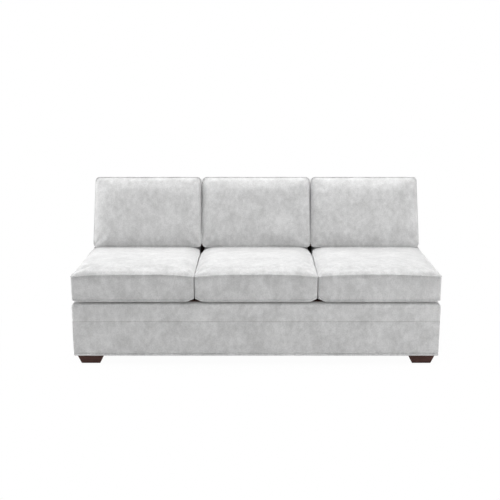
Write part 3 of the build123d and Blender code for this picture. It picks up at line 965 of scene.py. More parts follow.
@dataclass
class BackCushion(Cushion):
    """A loose back cushion, leaning on the inside back, its foot resting on the seat cushion."""

    kind: str = "back"
    length: float = 361 * MM
    boxing: float = 136 * MM
    crown: float = 49 * MM
    shoulder: float = 84 * MM
    corner: float = 20 * MM
    lower_round: float = 14 * MM
    pull: float = 0.0
    droop: float = 3 * MM
    lift: float = 0.0
    corner_lift: float = 0.0
    outer_taper: float = 12 * MM
    inner_taper: float = 4 * MM
    kept_taper: float = 0.8  # Share of a taper that the swollen side keeps.
    foot_fullness: float = 22 * MM
    low_fullness: float = 5 * MM
    forward_swell: float = 8 * MM
    top_swell: float = 1 * MM
    zip_height: float = 73.4 * MM
    zip_reach: float = 75 * MM  # Level distance from the inside back to the zip's middle.
    zip_depth: float = 7.5 * MM
    placket_depth: float = 11.5 * MM
    rest: float = 1.0 * MM
    seed: int = 11
    welt: float = 3.2 * MM
    welt_place: tuple[float, float, float] = (-0.6, 0.0, 0.7)

    def axes(self) -> tuple[np.ndarray, np.ndarray]:
        """Gives its place: its flat panel on the inside back, its own Y up the rake.

        Returns:
            The middle of its rear panel, and its own directions as rows.
        """
        lean = SOFA.inside_rake
        y = SOFA.inside_y(SOFA.foot_of_back, -SOFA.soft_gap)
        upward = np.array([0.0, math.sin(lean), math.cos(lean)])
        forward = np.array([0.0, -math.cos(lean), math.sin(lean)])
        foot = np.array([self.centre_x, y, SOFA.foot_of_back])
        return foot + upward * self.length / 2, np.array([[1.0, 0.0, 0.0], upward, forward])

    def zip_axes(self) -> tuple[np.ndarray, np.ndarray]:
        """Gives the zip's place: under the foot, facing down.

        Returns:
            The middle of its tape, and its along, across and outward directions as rows.
        """
        wall = SOFA.inside_y(SOFA.foot_of_back, -SOFA.soft_gap)
        y = wall - self.zip_reach / math.cos(SOFA.inside_rake)
        middle = np.array([self.centre_x, y, SOFA.foot_of_back + self.zip_depth])
        return middle, np.array([[1.0, 0.0, 0.0], [0.0, 1.0, 0.0], [0.0, 0.0, -1.0]])

    def seam_height(self, t: np.ndarray) -> np.ndarray:
        """How far forward the seam is: as any cushion's, and fuller towards the foot."""
        low = (1 - t[:, 1]) / 2
        return super().seam_height(t) + self.foot_fullness * low**2

    def crown_height(self, t: np.ndarray) -> np.ndarray:
        """How far forward the crown is: a little fuller below its middle."""
        return self.boxing + self.crown + self.low_fullness * (1 - t[:, 1]) / 2

    def tapers(self) -> tuple[float, float]:
        """How much the left and right sides lean in at the top."""
        left = self.outer_taper if self.place is Place.LEFT else self.inner_taper
        right = self.outer_taper if self.place is Place.RIGHT else self.inner_taper
        return left, right

    def upward(self, local: np.ndarray) -> np.ndarray:
        """How far up the rake each point is, from 0 at the foot to 1 at the top."""
        return np.clip(local[:, 1] / self.length + 0.5, 0, 1)

    def foot_line(self, local: np.ndarray) -> np.ndarray:
        """Finds how far down the rake the seat cushion's top lies.

        Args:
            local: Points in the cushion's own axes.

        Returns:
            The least that each point's own Y may be.
        """
        lean = SOFA.inside_rake
        forward = local[:, 2]
        y = SOFA.inside_y(SOFA.foot_of_back) - forward / math.cos(lean)
        seat = SeatCushion(self.place, self.velvet)
        drop = SOFA.foot_of_back - (seat.surface(local[:, 0], y) + self.rest)
        return -self.half[1] - forward * math.tan(lean) - drop / math.cos(lean)

    def shape(self, shares: np.ndarray) -> np.ndarray:
        """Shapes the block as any cushion, then leans its sides in and sets it on the seat.

        A side leans in by its taper times the height up the rake. The foot reaches down to
        the seat cushion's top, and that fades as (1 - up)^2 towards the top.

        Args:
            shares: Positions in the lattice block.

        Returns:
            Points in metres, in the cushion's own axes.
        """
        local = super().shape(shares)
        up = self.upward(local)
        left, right = self.tapers()
        side = 2 * local[:, 0] / self.width
        local[:, 0] += up * np.where(side < 0, -side * left, -side * right)
        local[:, 1] += (1 - up) ** 2 * (self.foot_line(local) + self.half[1])
        return local

    def settle(self, local: np.ndarray) -> np.ndarray:
        """Flattens the rear panel on the inside back, the foot on the seat, the sides on the next.

        Args:
            local: Points in the cushion's own axes.

        Returns:
            The points, kept in the cushion's own space.
        """
        local = local.copy()
        local[:, 2] = np.clip(local[:, 2], 0, self.boxing + self.crown + self.forward_swell)
        local[:, 1] = np.clip(local[:, 1], self.foot_line(local), self.half[1] + self.top_swell)
        up = self.upward(local)
        left, right = self.tapers()
        limit, kept = self.half[0] + self.squash, self.kept_taper
        local[:, 0] = np.clip(local[:, 0], -limit + up * left * kept, limit - up * right * kept)
        return local

    def placket(self, local: np.ndarray) -> np.ndarray:
        """Presses in the zip's placket along the foot, up to the level of the zip."""
        local = local.copy()
        lean = SOFA.inside_rake
        level = -self.half[1] - local[:, 2] * math.tan(lean) + self.placket_depth / math.cos(lean)
        share = self.in_placket(local, local[:, 2] - self.zip_height)
        local[:, 1] += share * np.maximum(level - local[:, 1], 0)
        return local


# ---------------------------------------------------------------- upholstered base
@dataclass
class SeatBase:
    """The upholstered box: padded border, lower panels, welt, deck and what lies under it."""

    velvet: Material
    deck: Material
    foam: Material
    lining: Material
    border_thickness: float = 12 * MM
    border_round: float = 26 * MM
    border_corner: float = 14 * MM
    border_foot: float = 239 * MM
    border_swell: float = 0.6 * MM
    border_draw: float = 0.8 * MM
    border_tuck: float = 1.4 * MM
    under_lip: tuple[float, float] = (8 * MM, 2 * MM)
    panel_setback: float = 2 * MM
    panel_thickness: float = 10 * MM
    panel_corner: float = 6 * MM
    panel_swell: float = 1 * MM
    panel_tuck: float = 2 * MM
    lip: float = 28 * MM
    welt_height: float = 10 * MM
    hem_inset: float = 6.5 * MM
    hem_drop: float = 1.5 * MM
    hem_half: tuple[float, float] = (5.4 * MM, 6.4 * MM)
    hem_corner: float = 7 * MM
    outside_cloth: float = 3 * MM
    post_inset: float = 16 * MM
    deck_give: float = 2 * MM
    deck_thickness: float = 1.2 * MM
    slab_round: float = 8 * MM
    roll_width: float = 45 * MM
    roll_corner: float = 20 * MM
    lining_inset: float = 8 * MM
    lining_rear: float = 13 * MM
    lining_sag: float = 3 * MM
    lining_thickness: float = 0.8 * MM
    centre_foot_y: float = -75.854 * MM
    centre_foot_half: float = 27.5 * MM
    turns: int = 6
    side_steps: int = 48
    front_steps: int = 96

    @property
    def deck_rear(self) -> float:
        """Y of the deck's rear edge, between the back posts."""
        return float(SOFA.inside_y(SOFA.deck_top, self.post_inset))

    def wrap(
        self, insets: np.ndarray, heights: np.ndarray, radius: float, ends: np.ndarray
    ) -> np.ndarray:
        """Carries a profile round the front and both sides.

        For each inset the outline runs from the left end forwards, round a corner whose
        radius is what is left of the outer one, across the front and back along the right.

        Args:
            insets: How far in each profile point lies.
            heights: Its height.
            radius: Outer corner radius in plan.
            ends: Y of the rear end for each profile point.

        Returns:
            Points, one row of them per profile point.
        """
        inner = np.maximum(radius - insets, 0.3 * MM)[:, None]
        x0 = SOFA.side - insets[:, None]
        y0 = SOFA.front + insets[:, None]
        angle = np.linspace(0, np.pi / 2, self.turns + 1)[None]
        back = np.linspace(0, 1, self.side_steps)[None, :-1]
        corner_x = -x0 + inner * (1 - np.cos(angle))
        corner_y = y0 + inner * (1 - np.sin(angle))
        run_y = ends[:, None] + back * (y0 + inner - ends[:, None])
        left_x = np.concatenate([np.repeat(-x0, back.shape[1], 1), corner_x], 1)
        left_y = np.concatenate([run_y, corner_y], 1)
        across = np.linspace(-1, 1, self.front_steps + 1)[None, 1:-1]
        front_x = across * (x0 - inner)
        x = np.concatenate([left_x, front_x, -left_x[:, ::-1]], 1)
        y = np.concatenate([left_y, np.repeat(y0, across.shape[1], 1), left_y[:, ::-1]], 1)
        z = np.repeat(heights[:, None], x.shape[1], 1)
        return np.stack([x, y, z], -1)

    def band(
        self, name: str, insets: list, heights: list, corner: float, replaced: tuple[str, ...]
    ) -> Object:
        """Makes a band of velvet round the front and both sides, a shell with flat ends.

        It ends under the outside back, or at the deck's rear where it turns in over the deck.

        Args:
            name: Name of the piece.
            insets: How far in each profile point lies, in runs.
            heights: Its height, in the same runs.
            corner: Outer corner radius in plan.
            replaced: CAD nodes that it stands for.

        Returns:
            The new piece.
        """
        insets, heights = np.concatenate(insets), np.concatenate(heights)
        over_deck = insets > self.border_thickness + 3 * MM
        ends = np.where(over_deck, self.deck_rear, SOFA.outside_y(heights, self.outside_cloth))
        grid = self.wrap(insets, heights, corner, ends)
        rows, columns = grid.shape[:2]
        ring = np.arange(rows)
        faces = [*(grid_faces(rows + 1, columns) % (rows * columns))]
        faces += [ring * columns, (ring * columns + columns - 1)[::-1]]
        points = grid.reshape(-1, 3)
        return make_piece(name, points, faces, self.velvet, ROOT, "cover_fabric", replaced)

    def border(self) -> None:
        """Makes the padded band round the top of the box.

        Its profile falls from the deck over a quarter ellipse as wide as the lip, goes down
        the face, which swells as a sine and draws in as f^3, and tucks in at the seam.
        """
        edge, tuck, thick = self.border_round, self.border_tuck, self.border_thickness
        angle = np.linspace(0, np.pi / 2, 11)
        face = np.linspace(0, 1, 15)
        seam = np.linspace(0, np.pi / 2, 5)[1:]
        top, low = SOFA.deck_top, self.border_foot
        face_z = top - edge - face * (top - edge - low - tuck)
        swell = self.border_swell * np.sin(np.pi * face) - self.border_draw * face**3
        under_front, under_rear = self.under_lip
        insets = [
            self.lip * (1 - np.sin(angle)),
            -swell[1:],
            -swell[-1] + tuck * (1 - np.cos(seam)),
            [thick, thick, self.lip],
        ]
        heights = [
            top - edge * (1 - np.cos(angle)),
            face_z[1:],
            face_z[-1] - tuck * np.sin(seam),
            [low, top - under_front, top - under_rear],
        ]
        replaced = ("seat_border",)
        piece = self.band("seat_border_cover", insets, heights, self.border_corner, replaced)

    def lower_panel(self) -> None:
        """Makes the plain cloth under the border, round the front and both sides.

        Its face swells as a sine and tucks in under the border and at the hem.
        """
        top, low = self.border_foot, SOFA.rail_bottom + self.welt_height
        face = np.linspace(0, 1, 25)
        turn = np.linspace(0, np.pi / 2, 5)
        set_in, tuck = self.panel_setback, self.panel_tuck
        insets = [
            set_in + tuck * (1 - np.sin(turn[:-1])),
            set_in - self.panel_swell * np.sin(np.pi * face) ** 0.7,
            set_in + tuck * (1 - np.cos(turn[1:])),
            np.full(2, set_in + self.panel_thickness),
        ]
        heights = [
            top - tuck * (1 - np.cos(turn[:-1])),
            top - tuck - face * (top - low - 2 * tuck),
            low + tuck * (1 - np.sin(turn[1:])),
            [low, top],
        ]
        panels = ("front_panel", "side_panels")
        piece = self.band("lower_panel_cover", insets, heights, self.panel_corner, panels)

    def hem(self) -> None:
        """Makes the welt along the lower edge, a rounded cord of cloth on three sides.

        Its profile is a superellipse: half its width and height times a cosine and a sine
        raised to 0.7.
        """
        angle = np.linspace(0, 2 * np.pi, 16, endpoint=False)
        middle = SOFA.rail_bottom + self.welt_height / 2 - self.hem_drop
        width, height = self.hem_half
        insets = self.hem_inset - width * np.sign(np.cos(angle)) * np.abs(np.cos(angle)) ** 0.7
        heights = middle + height * np.sign(np.sin(angle)) * np.abs(np.sin(angle)) ** 0.7
        self.band("lower_hem", [insets], [heights], self.hem_corner, ("bottom_welt",))

    def deck_sheet(self) -> None:
        """Makes the cloth stretched over the deck, which gives by 2 mm in its middle."""
        x, front, rear = SOFA.side - self.lip, SOFA.front + self.lip, self.deck_rear
        columns, rows = 75, 31
        lines = np.linspace(-x, x, columns), np.linspace(front, rear, rows)
        across, along = np.meshgrid(*lines, indexing="ij")
        give = np.cos(np.pi / 2 * across / x) * np.sin(np.pi * (along - front) / (rear - front))
        level = SOFA.deck_top - 0.4 * MM - self.deck_give * give
        points = np.stack([across, along, level], -1).reshape(-1, 3)
        quads = grid_faces(columns, rows)
        piece = make_piece(
            "deck_sheet", points, quads, self.deck, ROOT, "deck_fabric", ("deck_cloth",)
        )
        thicken(piece, self.deck_thickness)

    def padding(self) -> None:
        """Makes the foam slab on the springs and the rolled edge round it."""
        roll = self.roll_width
        x, front, rear = SOFA.frame_side, SOFA.frame_front, self.deck_rear
        low, high = front + roll, rear - roll
        top, inner = SOFA.cloth_bottom, x - roll
        corners = [(-inner, low, top), (inner, low, top), (inner, high, top), (-inner, high, top)]
        down = np.array([0, 0, SOFA.spring_top - top])
        slab = soft_slab(np.array(corners), down, roll=self.slab_round)
        make_piece("deck_pad", *slab, self.foam, ROOT, "foam", ("deck_foam",))
        height = (top - SOFA.clip_top) / 2
        sides = (x - roll / 2, front + roll / 2, rear - roll / 2)
        path = rectangle(*sides, z=top - height, radius=self.roll_corner, step=30 * MM)
        edge = tube(path, roll / 2, height, sides=14)
        piece = make_piece("rolled_edge", *edge, self.foam, ROOT, "foam", ("edge_roll",))

    def underside(self) -> None:
        """Makes the lining under the frame, cut out round the feet and sagging by 3 mm.

        The grid has lines at the edges of each cut-out, and loses the quads inside them.
        """
        x, front = SOFA.frame_side - self.lining_inset, SOFA.frame_front + self.lining_inset
        rear = float(SOFA.outside_y(SOFA.rail_bottom, self.lining_rear))
        feet = Feet(self.lining)
        reach = np.array(feet.top) / 2 + 1 * MM
        cuts = [(side * feet.x, y, *reach) for side in (-1, 1) for y in (feet.front_y, feet.rear_y)]
        cuts.append((0.0, self.centre_foot_y, self.centre_foot_half, self.centre_foot_half))
        lines = []
        for k, (low, high, count) in enumerate(((-x, x, 61), (front, rear, 29))):
            edges = [(cut[k] - cut[k + 2], cut[k] + cut[k + 2]) for cut in cuts]
            line = np.concatenate([np.linspace(low, high, count), *edges])
            lines.append(np.unique(np.clip(line, low, high)))
        across, along = np.meshgrid(*lines, indexing="ij")
        lengthwise = np.sin(np.pi * (along - front) / (rear - front))
        sag = np.abs(np.sin(3 * np.pi * across / x / 2)) * lengthwise
        level = SOFA.rail_bottom - SOFA.soft_gap - self.lining_sag * sag
        points = np.stack([across, along, level], -1).reshape(-1, 3)
        quads = grid_faces(*map(len, lines))
        middles = points[quads].mean(1)
        kept = np.ones(len(quads), bool)
        for cx, cy, half_x, half_y in cuts:
            kept &= (np.abs(middles[:, 0] - cx) > half_x) | (np.abs(middles[:, 1] - cy) > half_y)
        quads = quads[kept]
        piece = make_piece(
            "dust_sheet", points, quads, self.lining, ROOT, "lining", ("dust_cover",)
        )
        thicken(piece, self.lining_thickness)

    def build(self) -> None:
        """Makes every piece of the box."""
        self.border()
        self.lower_panel()
        self.hem()
        self.deck_sheet()
        self.padding()
        self.underside()


# ---------------------------------------------------------------- flat upholstery and feet
def soft_slab(
    corners: np.ndarray, inward: np.ndarray, roll: float, bulge: float = 0.0, step: float = 25 * MM
) -> tuple[np.ndarray, np.ndarray]:
    """Makes a slab of padded cloth between four corners.

    The outer sheet blends the corners bilinearly. Within the roll of an edge it sinks
    inward by roll * (1 - sqrt(1 - (1 - d / roll)^2)), and its middle stands proud by the
    bulge times the sines of its two shares. The inner sheet is the flat one moved inward.

    Args:
        corners: Outer corners, in order round the slab.
        inward: From the outer face to the inner one.
        roll: Radius of the edges.
        bulge: How far the middle stands proud.
        step: Spacing of the grid away from the edges.

    Returns:
        Its points and quads.
    """
    sides = [np.linalg.norm(corners[1] - corners[0]), np.linalg.norm(corners[3] - corners[0])]
    u, v = [graded(s, roll, roll / 4, step) / s for s in sides]
    uu, vv = [g[..., None] for g in np.meshgrid(u, v, indexing="ij")]
    flat = (1 - uu) * (1 - vv) * corners[0] + uu * (1 - vv) * corners[1]
    flat = flat + uu * vv * corners[2] + (1 - uu) * vv * corners[3]
    unit = inward / np.linalg.norm(inward)
    sink = np.zeros_like(uu)
    for share, length in ((uu, sides[0]), (vv, sides[1])):
        d = np.clip(np.minimum(share, 1 - share) * length / roll, 0, 1)
        sink = np.maximum(sink, roll * (1 - np.sqrt(1 - (1 - d) ** 2)))
    proud = bulge * np.sin(np.pi * uu) ** 0.6 * np.sin(np.pi * vv) ** 0.6
    outer = flat + (sink - proud) * unit
    inner = flat + inward
    rows, columns = uu.shape[:2]
    faces = grid_faces(rows, columns)
    count = rows * columns
    number = np.arange(count).reshape(rows, columns)
    rim = np.concatenate([number[:, 0], number[-1, 1:], number[-2::-1, -1], number[0, -2:0:-1]])
    after = np.roll(rim, -1)
    wall = np.stack([rim, after, after + count, rim + count], -1)
    points = np.concatenate([outer.reshape(-1, 3), inner.reshape(-1, 3)])
    return points, np.concatenate([faces, faces[:, ::-1] + count, wall])


@dataclass
class BackRest:
    """The upholstered back: inside and outside cloth, ends and top roll."""

    velvet: Material
    deck: Material
    foam: Material
    side: float = 963 * MM
    inner_side: float = 953 * MM
    inside_cloth: float = 2 * MM
    pad: float = 12 * MM
    outside_cloth: float = 3 * MM
    end_thickness: float = 10 * MM

    @staticmethod
    def raked(x: float, y_at: Callable[[float], float], low: float, high: float) -> np.ndarray:
        """Gives the corners of a leaning face.

        Args:
            x: Half its width.
            y_at: Gives its Y at a height.
            low: Its lower level.
            high: Its upper level.

        Returns:
            Bottom left, bottom right, top right and top left.
        """
        corners = ((-1, low), (1, low), (1, high), (-1, high))
        return np.array([(sign * x, y_at(z), z) for sign, z in corners])

    def build(self) -> None:
        """Makes every piece of the back."""
        low, high, top = SOFA.deck_top, SOFA.roll_bottom, SOFA.back_height
        foot, x, inner = SOFA.rail_bottom, self.side, self.inner_side
        lean, tilt = math.cos(SOFA.inside_rake), math.cos(SOFA.outside_rake)
        velvet = (self.velvet, ROOT, "cover_fabric")

        corners = self.raked(inner, SOFA.inside_y, low, high)
        slab = soft_slab(corners, np.array([0.0, self.inside_cloth / lean, 0.0]), roll=1 * MM)
        cloth = make_piece(
            "inside_back_cover", *slab, self.deck, ROOT, "deck_fabric", ("inside_back",)
        )

        corners = self.raked(inner, lambda z: SOFA.inside_y(z, self.inside_cloth), low, high)
        slab = soft_slab(corners, np.array([0.0, self.pad / lean, 0.0]), roll=4 * MM)
        pad = make_piece("inside_back_pad", *slab, self.foam, ROOT, "foam", ("inside_back_foam",))

        corners = self.raked(x, SOFA.outside_y, foot, high)
        inward = np.array([0.0, -self.outside_cloth / tilt, 0.0])
        slab = soft_slab(corners, inward, roll=2.5 * MM, bulge=0.8 * MM)
        cloth = make_piece("outside_back_cover", *slab, *velvet, ("outside_back",))

        for sign, word in ((-1, "left"), (1, "right")):
            edges = [(SOFA.inside_y(z), SOFA.outside_y(z, self.outside_cloth)) for z in (low, high)]
            (y_low, rear_low), (y_high, rear_high) = edges
            rim = ((y_low, low), (rear_low, low), (rear_high, high), (y_high, high))
            corners = np.array([(sign * x, y, z) for y, z in rim])
            inward = np.array([-sign * self.end_thickness, 0.0, 0.0])
            slab = soft_slab(corners, inward, roll=4 * MM, bulge=1 * MM)
            end = make_piece(f"{word}_back_end_cover", *slab, *velvet, ("back_ends",))

        front_low, front_high = SOFA.inside_y(high), SOFA.inside_y(top)
        rim = ((-x, front_high), (x, front_high), (x, SOFA.rear), (-x, SOFA.rear))
        inward = np.array([0.0, (front_low - front_high) / 2, high - top])
        corners = np.array([(*place, top) for place in rim])
        slab = soft_slab(corners, inward, roll=9 * MM, bulge=0.6 * MM)
        make_piece("back_top_roll_cover", *slab, *velvet, ("back_top_roll",))


@dataclass
class Feet:
    """Four tapered wooden feet with eased edges, their outer faces nearly upright."""

    wood: Material
    top: tuple[float, float] = (142 * MM, 110 * MM)
    taper: float = 22 * MM
    outer_taper: float = 2 * MM
    height: float = 48 * MM
    glide: float = 3 * MM
    x: float = 877 * MM
    front_y: float = -412.0785 * MM
    rear_inset: float = 12 * MM
    ease: float = 2 * MM

    @property
    def rear_y(self) -> float:
        """Y of the rear feet."""
        return float(SOFA.outside_y(SOFA.rail_bottom)) - self.rear_inset - self.top[1] / 2

    def build(self) -> None:
        """Makes the feet."""
        for end, y in (("front", self.front_y), ("rear", self.rear_y)):
            for word, sign in (("left", -1), ("right", 1)):
                self.foot(f"{end}_{word}_foot", sign * self.x, y)

    def foot(self, name: str, x: float, y: float) -> None:
        """Makes one foot: eight corners of a block that narrows downwards, its edges eased.

        Args:
            name: The CAD node that it stands for.
            x: X of its middle.
            y: Y of its middle.
        """
        half = np.array(self.top) / 2
        taper_y = np.where(SIGNS[:, 1] * y > 0, self.outer_taper, self.taper)
        low = half - np.column_stack([np.full(4, self.taper), taper_y])
        low = np.column_stack([SIGNS * low, np.full(4, self.glide)])
        high = np.column_stack([SIGNS * half, np.full(4, self.glide + self.height)])
        points = np.concatenate([low, high]) + [x, y, 0]
        piece = make_piece(
            f"{name}_wood", points, BLOCK_FACES, self.wood, ROOT, "foot_wood", (name,)
        )
        bevel = piece.modifiers.new("Eased edges", "BEVEL")
        bevel.width, bevel.segments, bevel.limit_method = self.ease, 3, "NONE"


# ---------------------------------------------------------------- zips and the inner frame
@dataclass
class Zip:
    """A coil zip on its tape, at the foot of a placket."""

    cushion: SeatCushion | BackCushion
    tape_cloth: Material
    nylon: Material
    length: float = 500 * MM
    tape_width: float = 14 * MM
    tape_thickness: float = 1.2 * MM
    coil_width: float = 5 * MM
    coil_height: float = 1 * MM
    tooth_half: float = 0.8 * MM
    tooth_top: float = 0.5 * MM
    tooth_slope: float = 0.9 * MM
    overlap: float = 0.3 * MM
    pitch: float = 2.5 * MM

    def build(self) -> None:
        """Makes the tape, and the coil, whose teeth reach over from each side in turn."""
        origin, rows = self.cushion.zip_axes()
        name = self.cushion.name
        x, y, top = self.length / 2, self.tape_width / 2, self.tape_thickness
        corners = np.array([(-x, -y, top), (x, -y, top), (x, y, top), (-x, y, top)])
        points, faces = soft_slab(corners, np.array([0, 0, -top]), roll=0.5 * MM, step=10 * MM)
        ride = (self.cushion.body, "zip_tape", (f"{name}_zip",))
        make_piece(f"{name}_zip_cloth", origin + points @ rows, faces, self.tape_cloth, *ride)

        count = int(self.length / self.pitch)
        middles = (np.arange(count) - (count - 1) / 2) * self.pitch
        foot = SIGNS * [self.tooth_half, self.coil_width / 2]
        head = SIGNS * [self.tooth_top, self.coil_width / 2 - self.tooth_slope]
        levels = np.repeat([top, top + self.coil_height], 4)
        tooth = np.column_stack([np.concatenate([foot, head]), levels])
        turns = self.overlap * (-1.0) ** np.arange(count)
        shift = np.column_stack([middles, turns, np.zeros(count)])
        points = (tooth[None] + shift[:, None]).reshape(-1, 3)
        faces = (np.array(BLOCK_FACES)[None] + 8 * np.arange(count)[:, None, None]).reshape(-1, 4)
        make_piece(f"{name}_zip_coil", origin + points @ rows, faces, self.nylon, *ride)


@dataclass
class InnerFrame:
    """The CAD nodes that keep their own shape, and the finish of each."""

    roughness: float = 0.7

    def build(self) -> None:
        """Gives every carried-over node its material."""
        kinds = ("seat", "back")
        sliders = " ".join(f"{place.word}_{kind}_zip_slider" for place in Place for kind in kinds)
        spring_steel, zinc = (
            Grained(name, roughness, 1.0, shade=shade, light=light, grit=(grit,) * 3)
            for name, roughness, shade, light, grit in (
                ("Oil-tempered spring steel", 0.38, "3B3A39", "57544F", 4 * MM),
                ("Zinc-plated steel", 0.32, "A3A6A8", "BEC1C2", 2.5 * MM),
            )
        )
        along_x, along_y, upright = (
            Timber(f"Sawn beech {word}", self.roughness, grain=grain)
            for word, grain in (("along X", Grain.X), ("along Y", Grain.Y), ("upright", Grain.Z))
        )
        stained = Timber(
            "Stained beech, upright", 0.6, early="4E342F", late="422B26", grain=Grain.Z, gloss=0.2
        )
        jute = Woven("Jute webbing", 0.95, shade="A58A5E", light="BCA277", thread=2.4 * MM)
        plastic = Grained(
            "Polypropylene", 0.45, shade="211F1D", light="2C2926", grit=(1.5 * MM,) * 3
        )
        board = Grained(
            "Grey board", 0.9, shade="8E887C", light="A19B8E", grit=(2 * MM, 2 * MM, 6 * MM)
        )
        groups = {
            along_x: "front_rail spring_rail rear_rail top_rail lower_back_rail foot_blocks",
            along_y: "side_rails seat_ribs",
            upright: "back_posts back_stiles",
            stained: "centre_foot",
            jute: "back_webbing",
            spring_steel: "seat_springs tie_wires",
            zinc: f"spring_clips foot_bolts {sliders}",
            plastic: "foot_glides",
            board: "outside_back_board",
        }
        for finish, names in groups.items():
            material = finish.build()
            for name in names.split():
                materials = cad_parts[name].data.materials
                materials.clear()
                materials.append(material)
            LOG.info("%s: %s", finish.name, names)


# ---------------------------------------------------------------- studio
@dataclass(frozen=True)
class SoftBox:
    """A rectangular lamp: where it stands, its width and height, and its power in watts."""

    name: str
    place: tuple[float, float, float]
    size: tuple[float, float]
    watts: float

    def build(self, target: tuple[float, float, float]) -> None:
        """Hangs the lamp, facing the target."""
        data = bpy.data.lights.new(self.name, "AREA")
        data.shape, data.size, data.size_y, data.energy = "RECTANGLE", *self.size, self.watts
        lamp = bpy.data.objects.new(self.name, data)
        lamp.location = self.place
        facing = Vector(target) - Vector(self.place)
        lamp.rotation_euler = facing.to_track_quat("-Z", "Y").to_euler()
        bpy.context.scene.collection.objects.link(lamp)


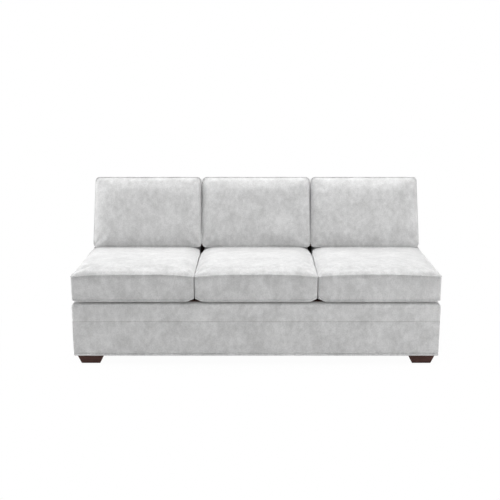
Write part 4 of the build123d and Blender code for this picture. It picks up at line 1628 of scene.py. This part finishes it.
@dataclass
class Studio:
    """A pale floor, soft light from above and in front, and the photograph's camera."""

    focal: float = 60.1
    eye: tuple[float, float, float] = (0.0, -4.64, 1.615)
    pitch: float = 13.4
    shift: tuple[float, float] = (-0.0122, 0.0)
    whiteness: float = 0.97
    fade: tuple[float, float] = (1.0, 1.6)
    floor_half: float = 30.0
    even: float = 0.12
    aim: tuple[float, float, float] = (0.0, 0.0, 0.5)
    boxes: tuple[SoftBox, ...] = (
        SoftBox("overhead", (0.0, 0.2, 3.4), (5.0, 4.0), 173.0),
        SoftBox("left", (-4.2, -0.3, 0.8), (2.0, 1.4), 78.0),
        SoftBox("right", (4.0, -2.0, 1.1), (2.0, 2.0), 54.0),
        SoftBox("high", (0.0, -2.6, 3.4), (4.0, 2.0), 14.0),
    )

    def camera(self) -> None:
        """Sets up the camera, level from side to side and looking down a little."""
        data = bpy.data.cameras.new("camera")
        data.lens, data.sensor_width = self.focal, 36.0
        data.shift_x, data.shift_y = self.shift
        camera = bpy.data.objects.new("camera", data)
        camera.location = self.eye
        camera.rotation_euler = (math.radians(90 - self.pitch), 0, 0)
        bpy.context.scene.collection.objects.link(camera)
        bpy.context.scene.camera = camera

    def world(self) -> None:
        """Lights the scene evenly, and shows white behind it."""
        world = bpy.data.worlds.new("studio")
        world.use_nodes = True
        bpy.context.scene.world = world
        tree = world.node_tree
        tree.nodes.clear()
        path = add_node(tree, "ShaderNodeLightPath").outputs
        rays = {0: path["Is Camera Ray"], 1: path["Is Glossy Ray"]}
        seen = add_node(tree, "ShaderNodeMath", {"operation": "MAXIMUM"}, links=rays)
        even, white = (
            add_node(tree, "ShaderNodeBackground", values={"Color": WHITE, "Strength": strength})
            for strength in (self.even, 1.0)
        )
        shades = {0: seen.outputs[0], 1: even.outputs[0], 2: white.outputs[0]}
        mix = add_node(tree, "ShaderNodeMixShader", links=shades)
        add_node(tree, "ShaderNodeOutputWorld", links={0: mix.outputs[0]})

    def floor(self) -> None:
        """Lays a white floor that keeps only the sofa's soft shadow.

        The camera sees mostly a plain white in place of the floor's own shading, and nothing
        else further out: the share rises by a smooth step over the fade, as a distance in
        metres from the middle, with Y counted 1.8 times.
        """
        material = bpy.data.materials.new("White paper sweep")
        material.use_nodes = True
        tree = material.node_tree
        shader = tree.nodes["Principled BSDF"]
        shader.inputs["Base Color"].default_value = WHITE
        shader.inputs["Roughness"].default_value = 0.9
        shader.inputs["Specular IOR Level"].default_value = 0.0
        glow = add_node(tree, "ShaderNodeEmission", values={"Color": WHITE, "Strength": 1.0})
        path = add_node(tree, "ShaderNodeLightPath").outputs
        ground = {"Vector": add_node(tree, "ShaderNodeTexCoord").outputs["Object"]}
        stretch = {"Scale": (1.0, 1.8, 0.0)}
        scaled = add_node(tree, "ShaderNodeMapping", values=stretch, links=ground)
        away = add_node(
            tree, "ShaderNodeVectorMath", {"operation": "LENGTH"}, links={0: scaled.outputs[0]}
        )
        near, far = self.fade
        white = add_node(
            tree,
            "ShaderNodeMapRange",
            {"interpolation_type": "SMOOTHSTEP"},
            {"From Min": near, "From Max": far, "To Min": self.whiteness, "To Max": 1.0},
            {"Value": away.outputs["Value"]},
        )
        both = {0: white.outputs[0], 1: path["Is Camera Ray"]}
        share = add_node(tree, "ShaderNodeMath", {"operation": "MULTIPLY"}, links=both)
        shades = {0: share.outputs[0], 1: shader.outputs[0], 2: glow.outputs[0]}
        mix = add_node(tree, "ShaderNodeMixShader", links=shades)
        tree.links.new(mix.outputs[0], tree.nodes["Material Output"].inputs["Surface"])
        mesh = bpy.data.meshes.new("floor")
        mesh.from_pydata([(*corner, 0) for corner in SIGNS * self.floor_half], [], [(0, 1, 2, 3)])
        mesh.materials.append(material)
        floor = bpy.data.objects.new("floor", mesh)
        bpy.context.scene.collection.objects.link(floor)

    def build(self) -> None:
        """Sets up camera, floor and light."""
        bpy.context.scene.view_settings.view_transform = "Standard"
        self.camera()
        self.floor()
        self.world()
        for box in self.boxes:
            box.build(self.aim)


def main() -> None:
    """Builds the sofa piece by piece and lights it."""
    logging.basicConfig(level=logging.INFO, format="%(name)s: %(message)s")
    Studio().build()
    velvet = Velvet("Cut-pile velvet", 0.9, sheen=0.7).build()
    deck = Woven("Woven deck cloth", 0.95).build()
    foam = Grained(
        "Polyurethane foam", 0.9, shade="E6D9A8", light="F0E6C0", grit=(1.2 * MM,) * 3
    ).build()
    lining = Woven("Spunbond lining", 0.9, shade="1C1C1D", light="262628", thread=1.2 * MM).build()
    stained = Timber("Stained beech", 0.6, early="4E342F", late="422B26", gloss=0.2).build()
    tape = Woven(
        "Polyester zip tape", 0.85, shade="B4B4B4", light="C2C2C2", thread=0.9 * MM
    ).build()
    nylon = Grained("Nylon coil", 0.4, shade="A9A9A9", light="BBBBBB", grit=(0.8 * MM,) * 3).build()
    for place in Place:
        for cushion in (SeatCushion(place, velvet), BackCushion(place, velvet)):
            cushion.build()
            Zip(cushion, tape, nylon).build()
    SeatBase(velvet, deck, foam, lining).build()
    BackRest(velvet, deck, foam).build()
    Feet(stained).build()
    InnerFrame().build()


if __name__ == "__main__":
    main()
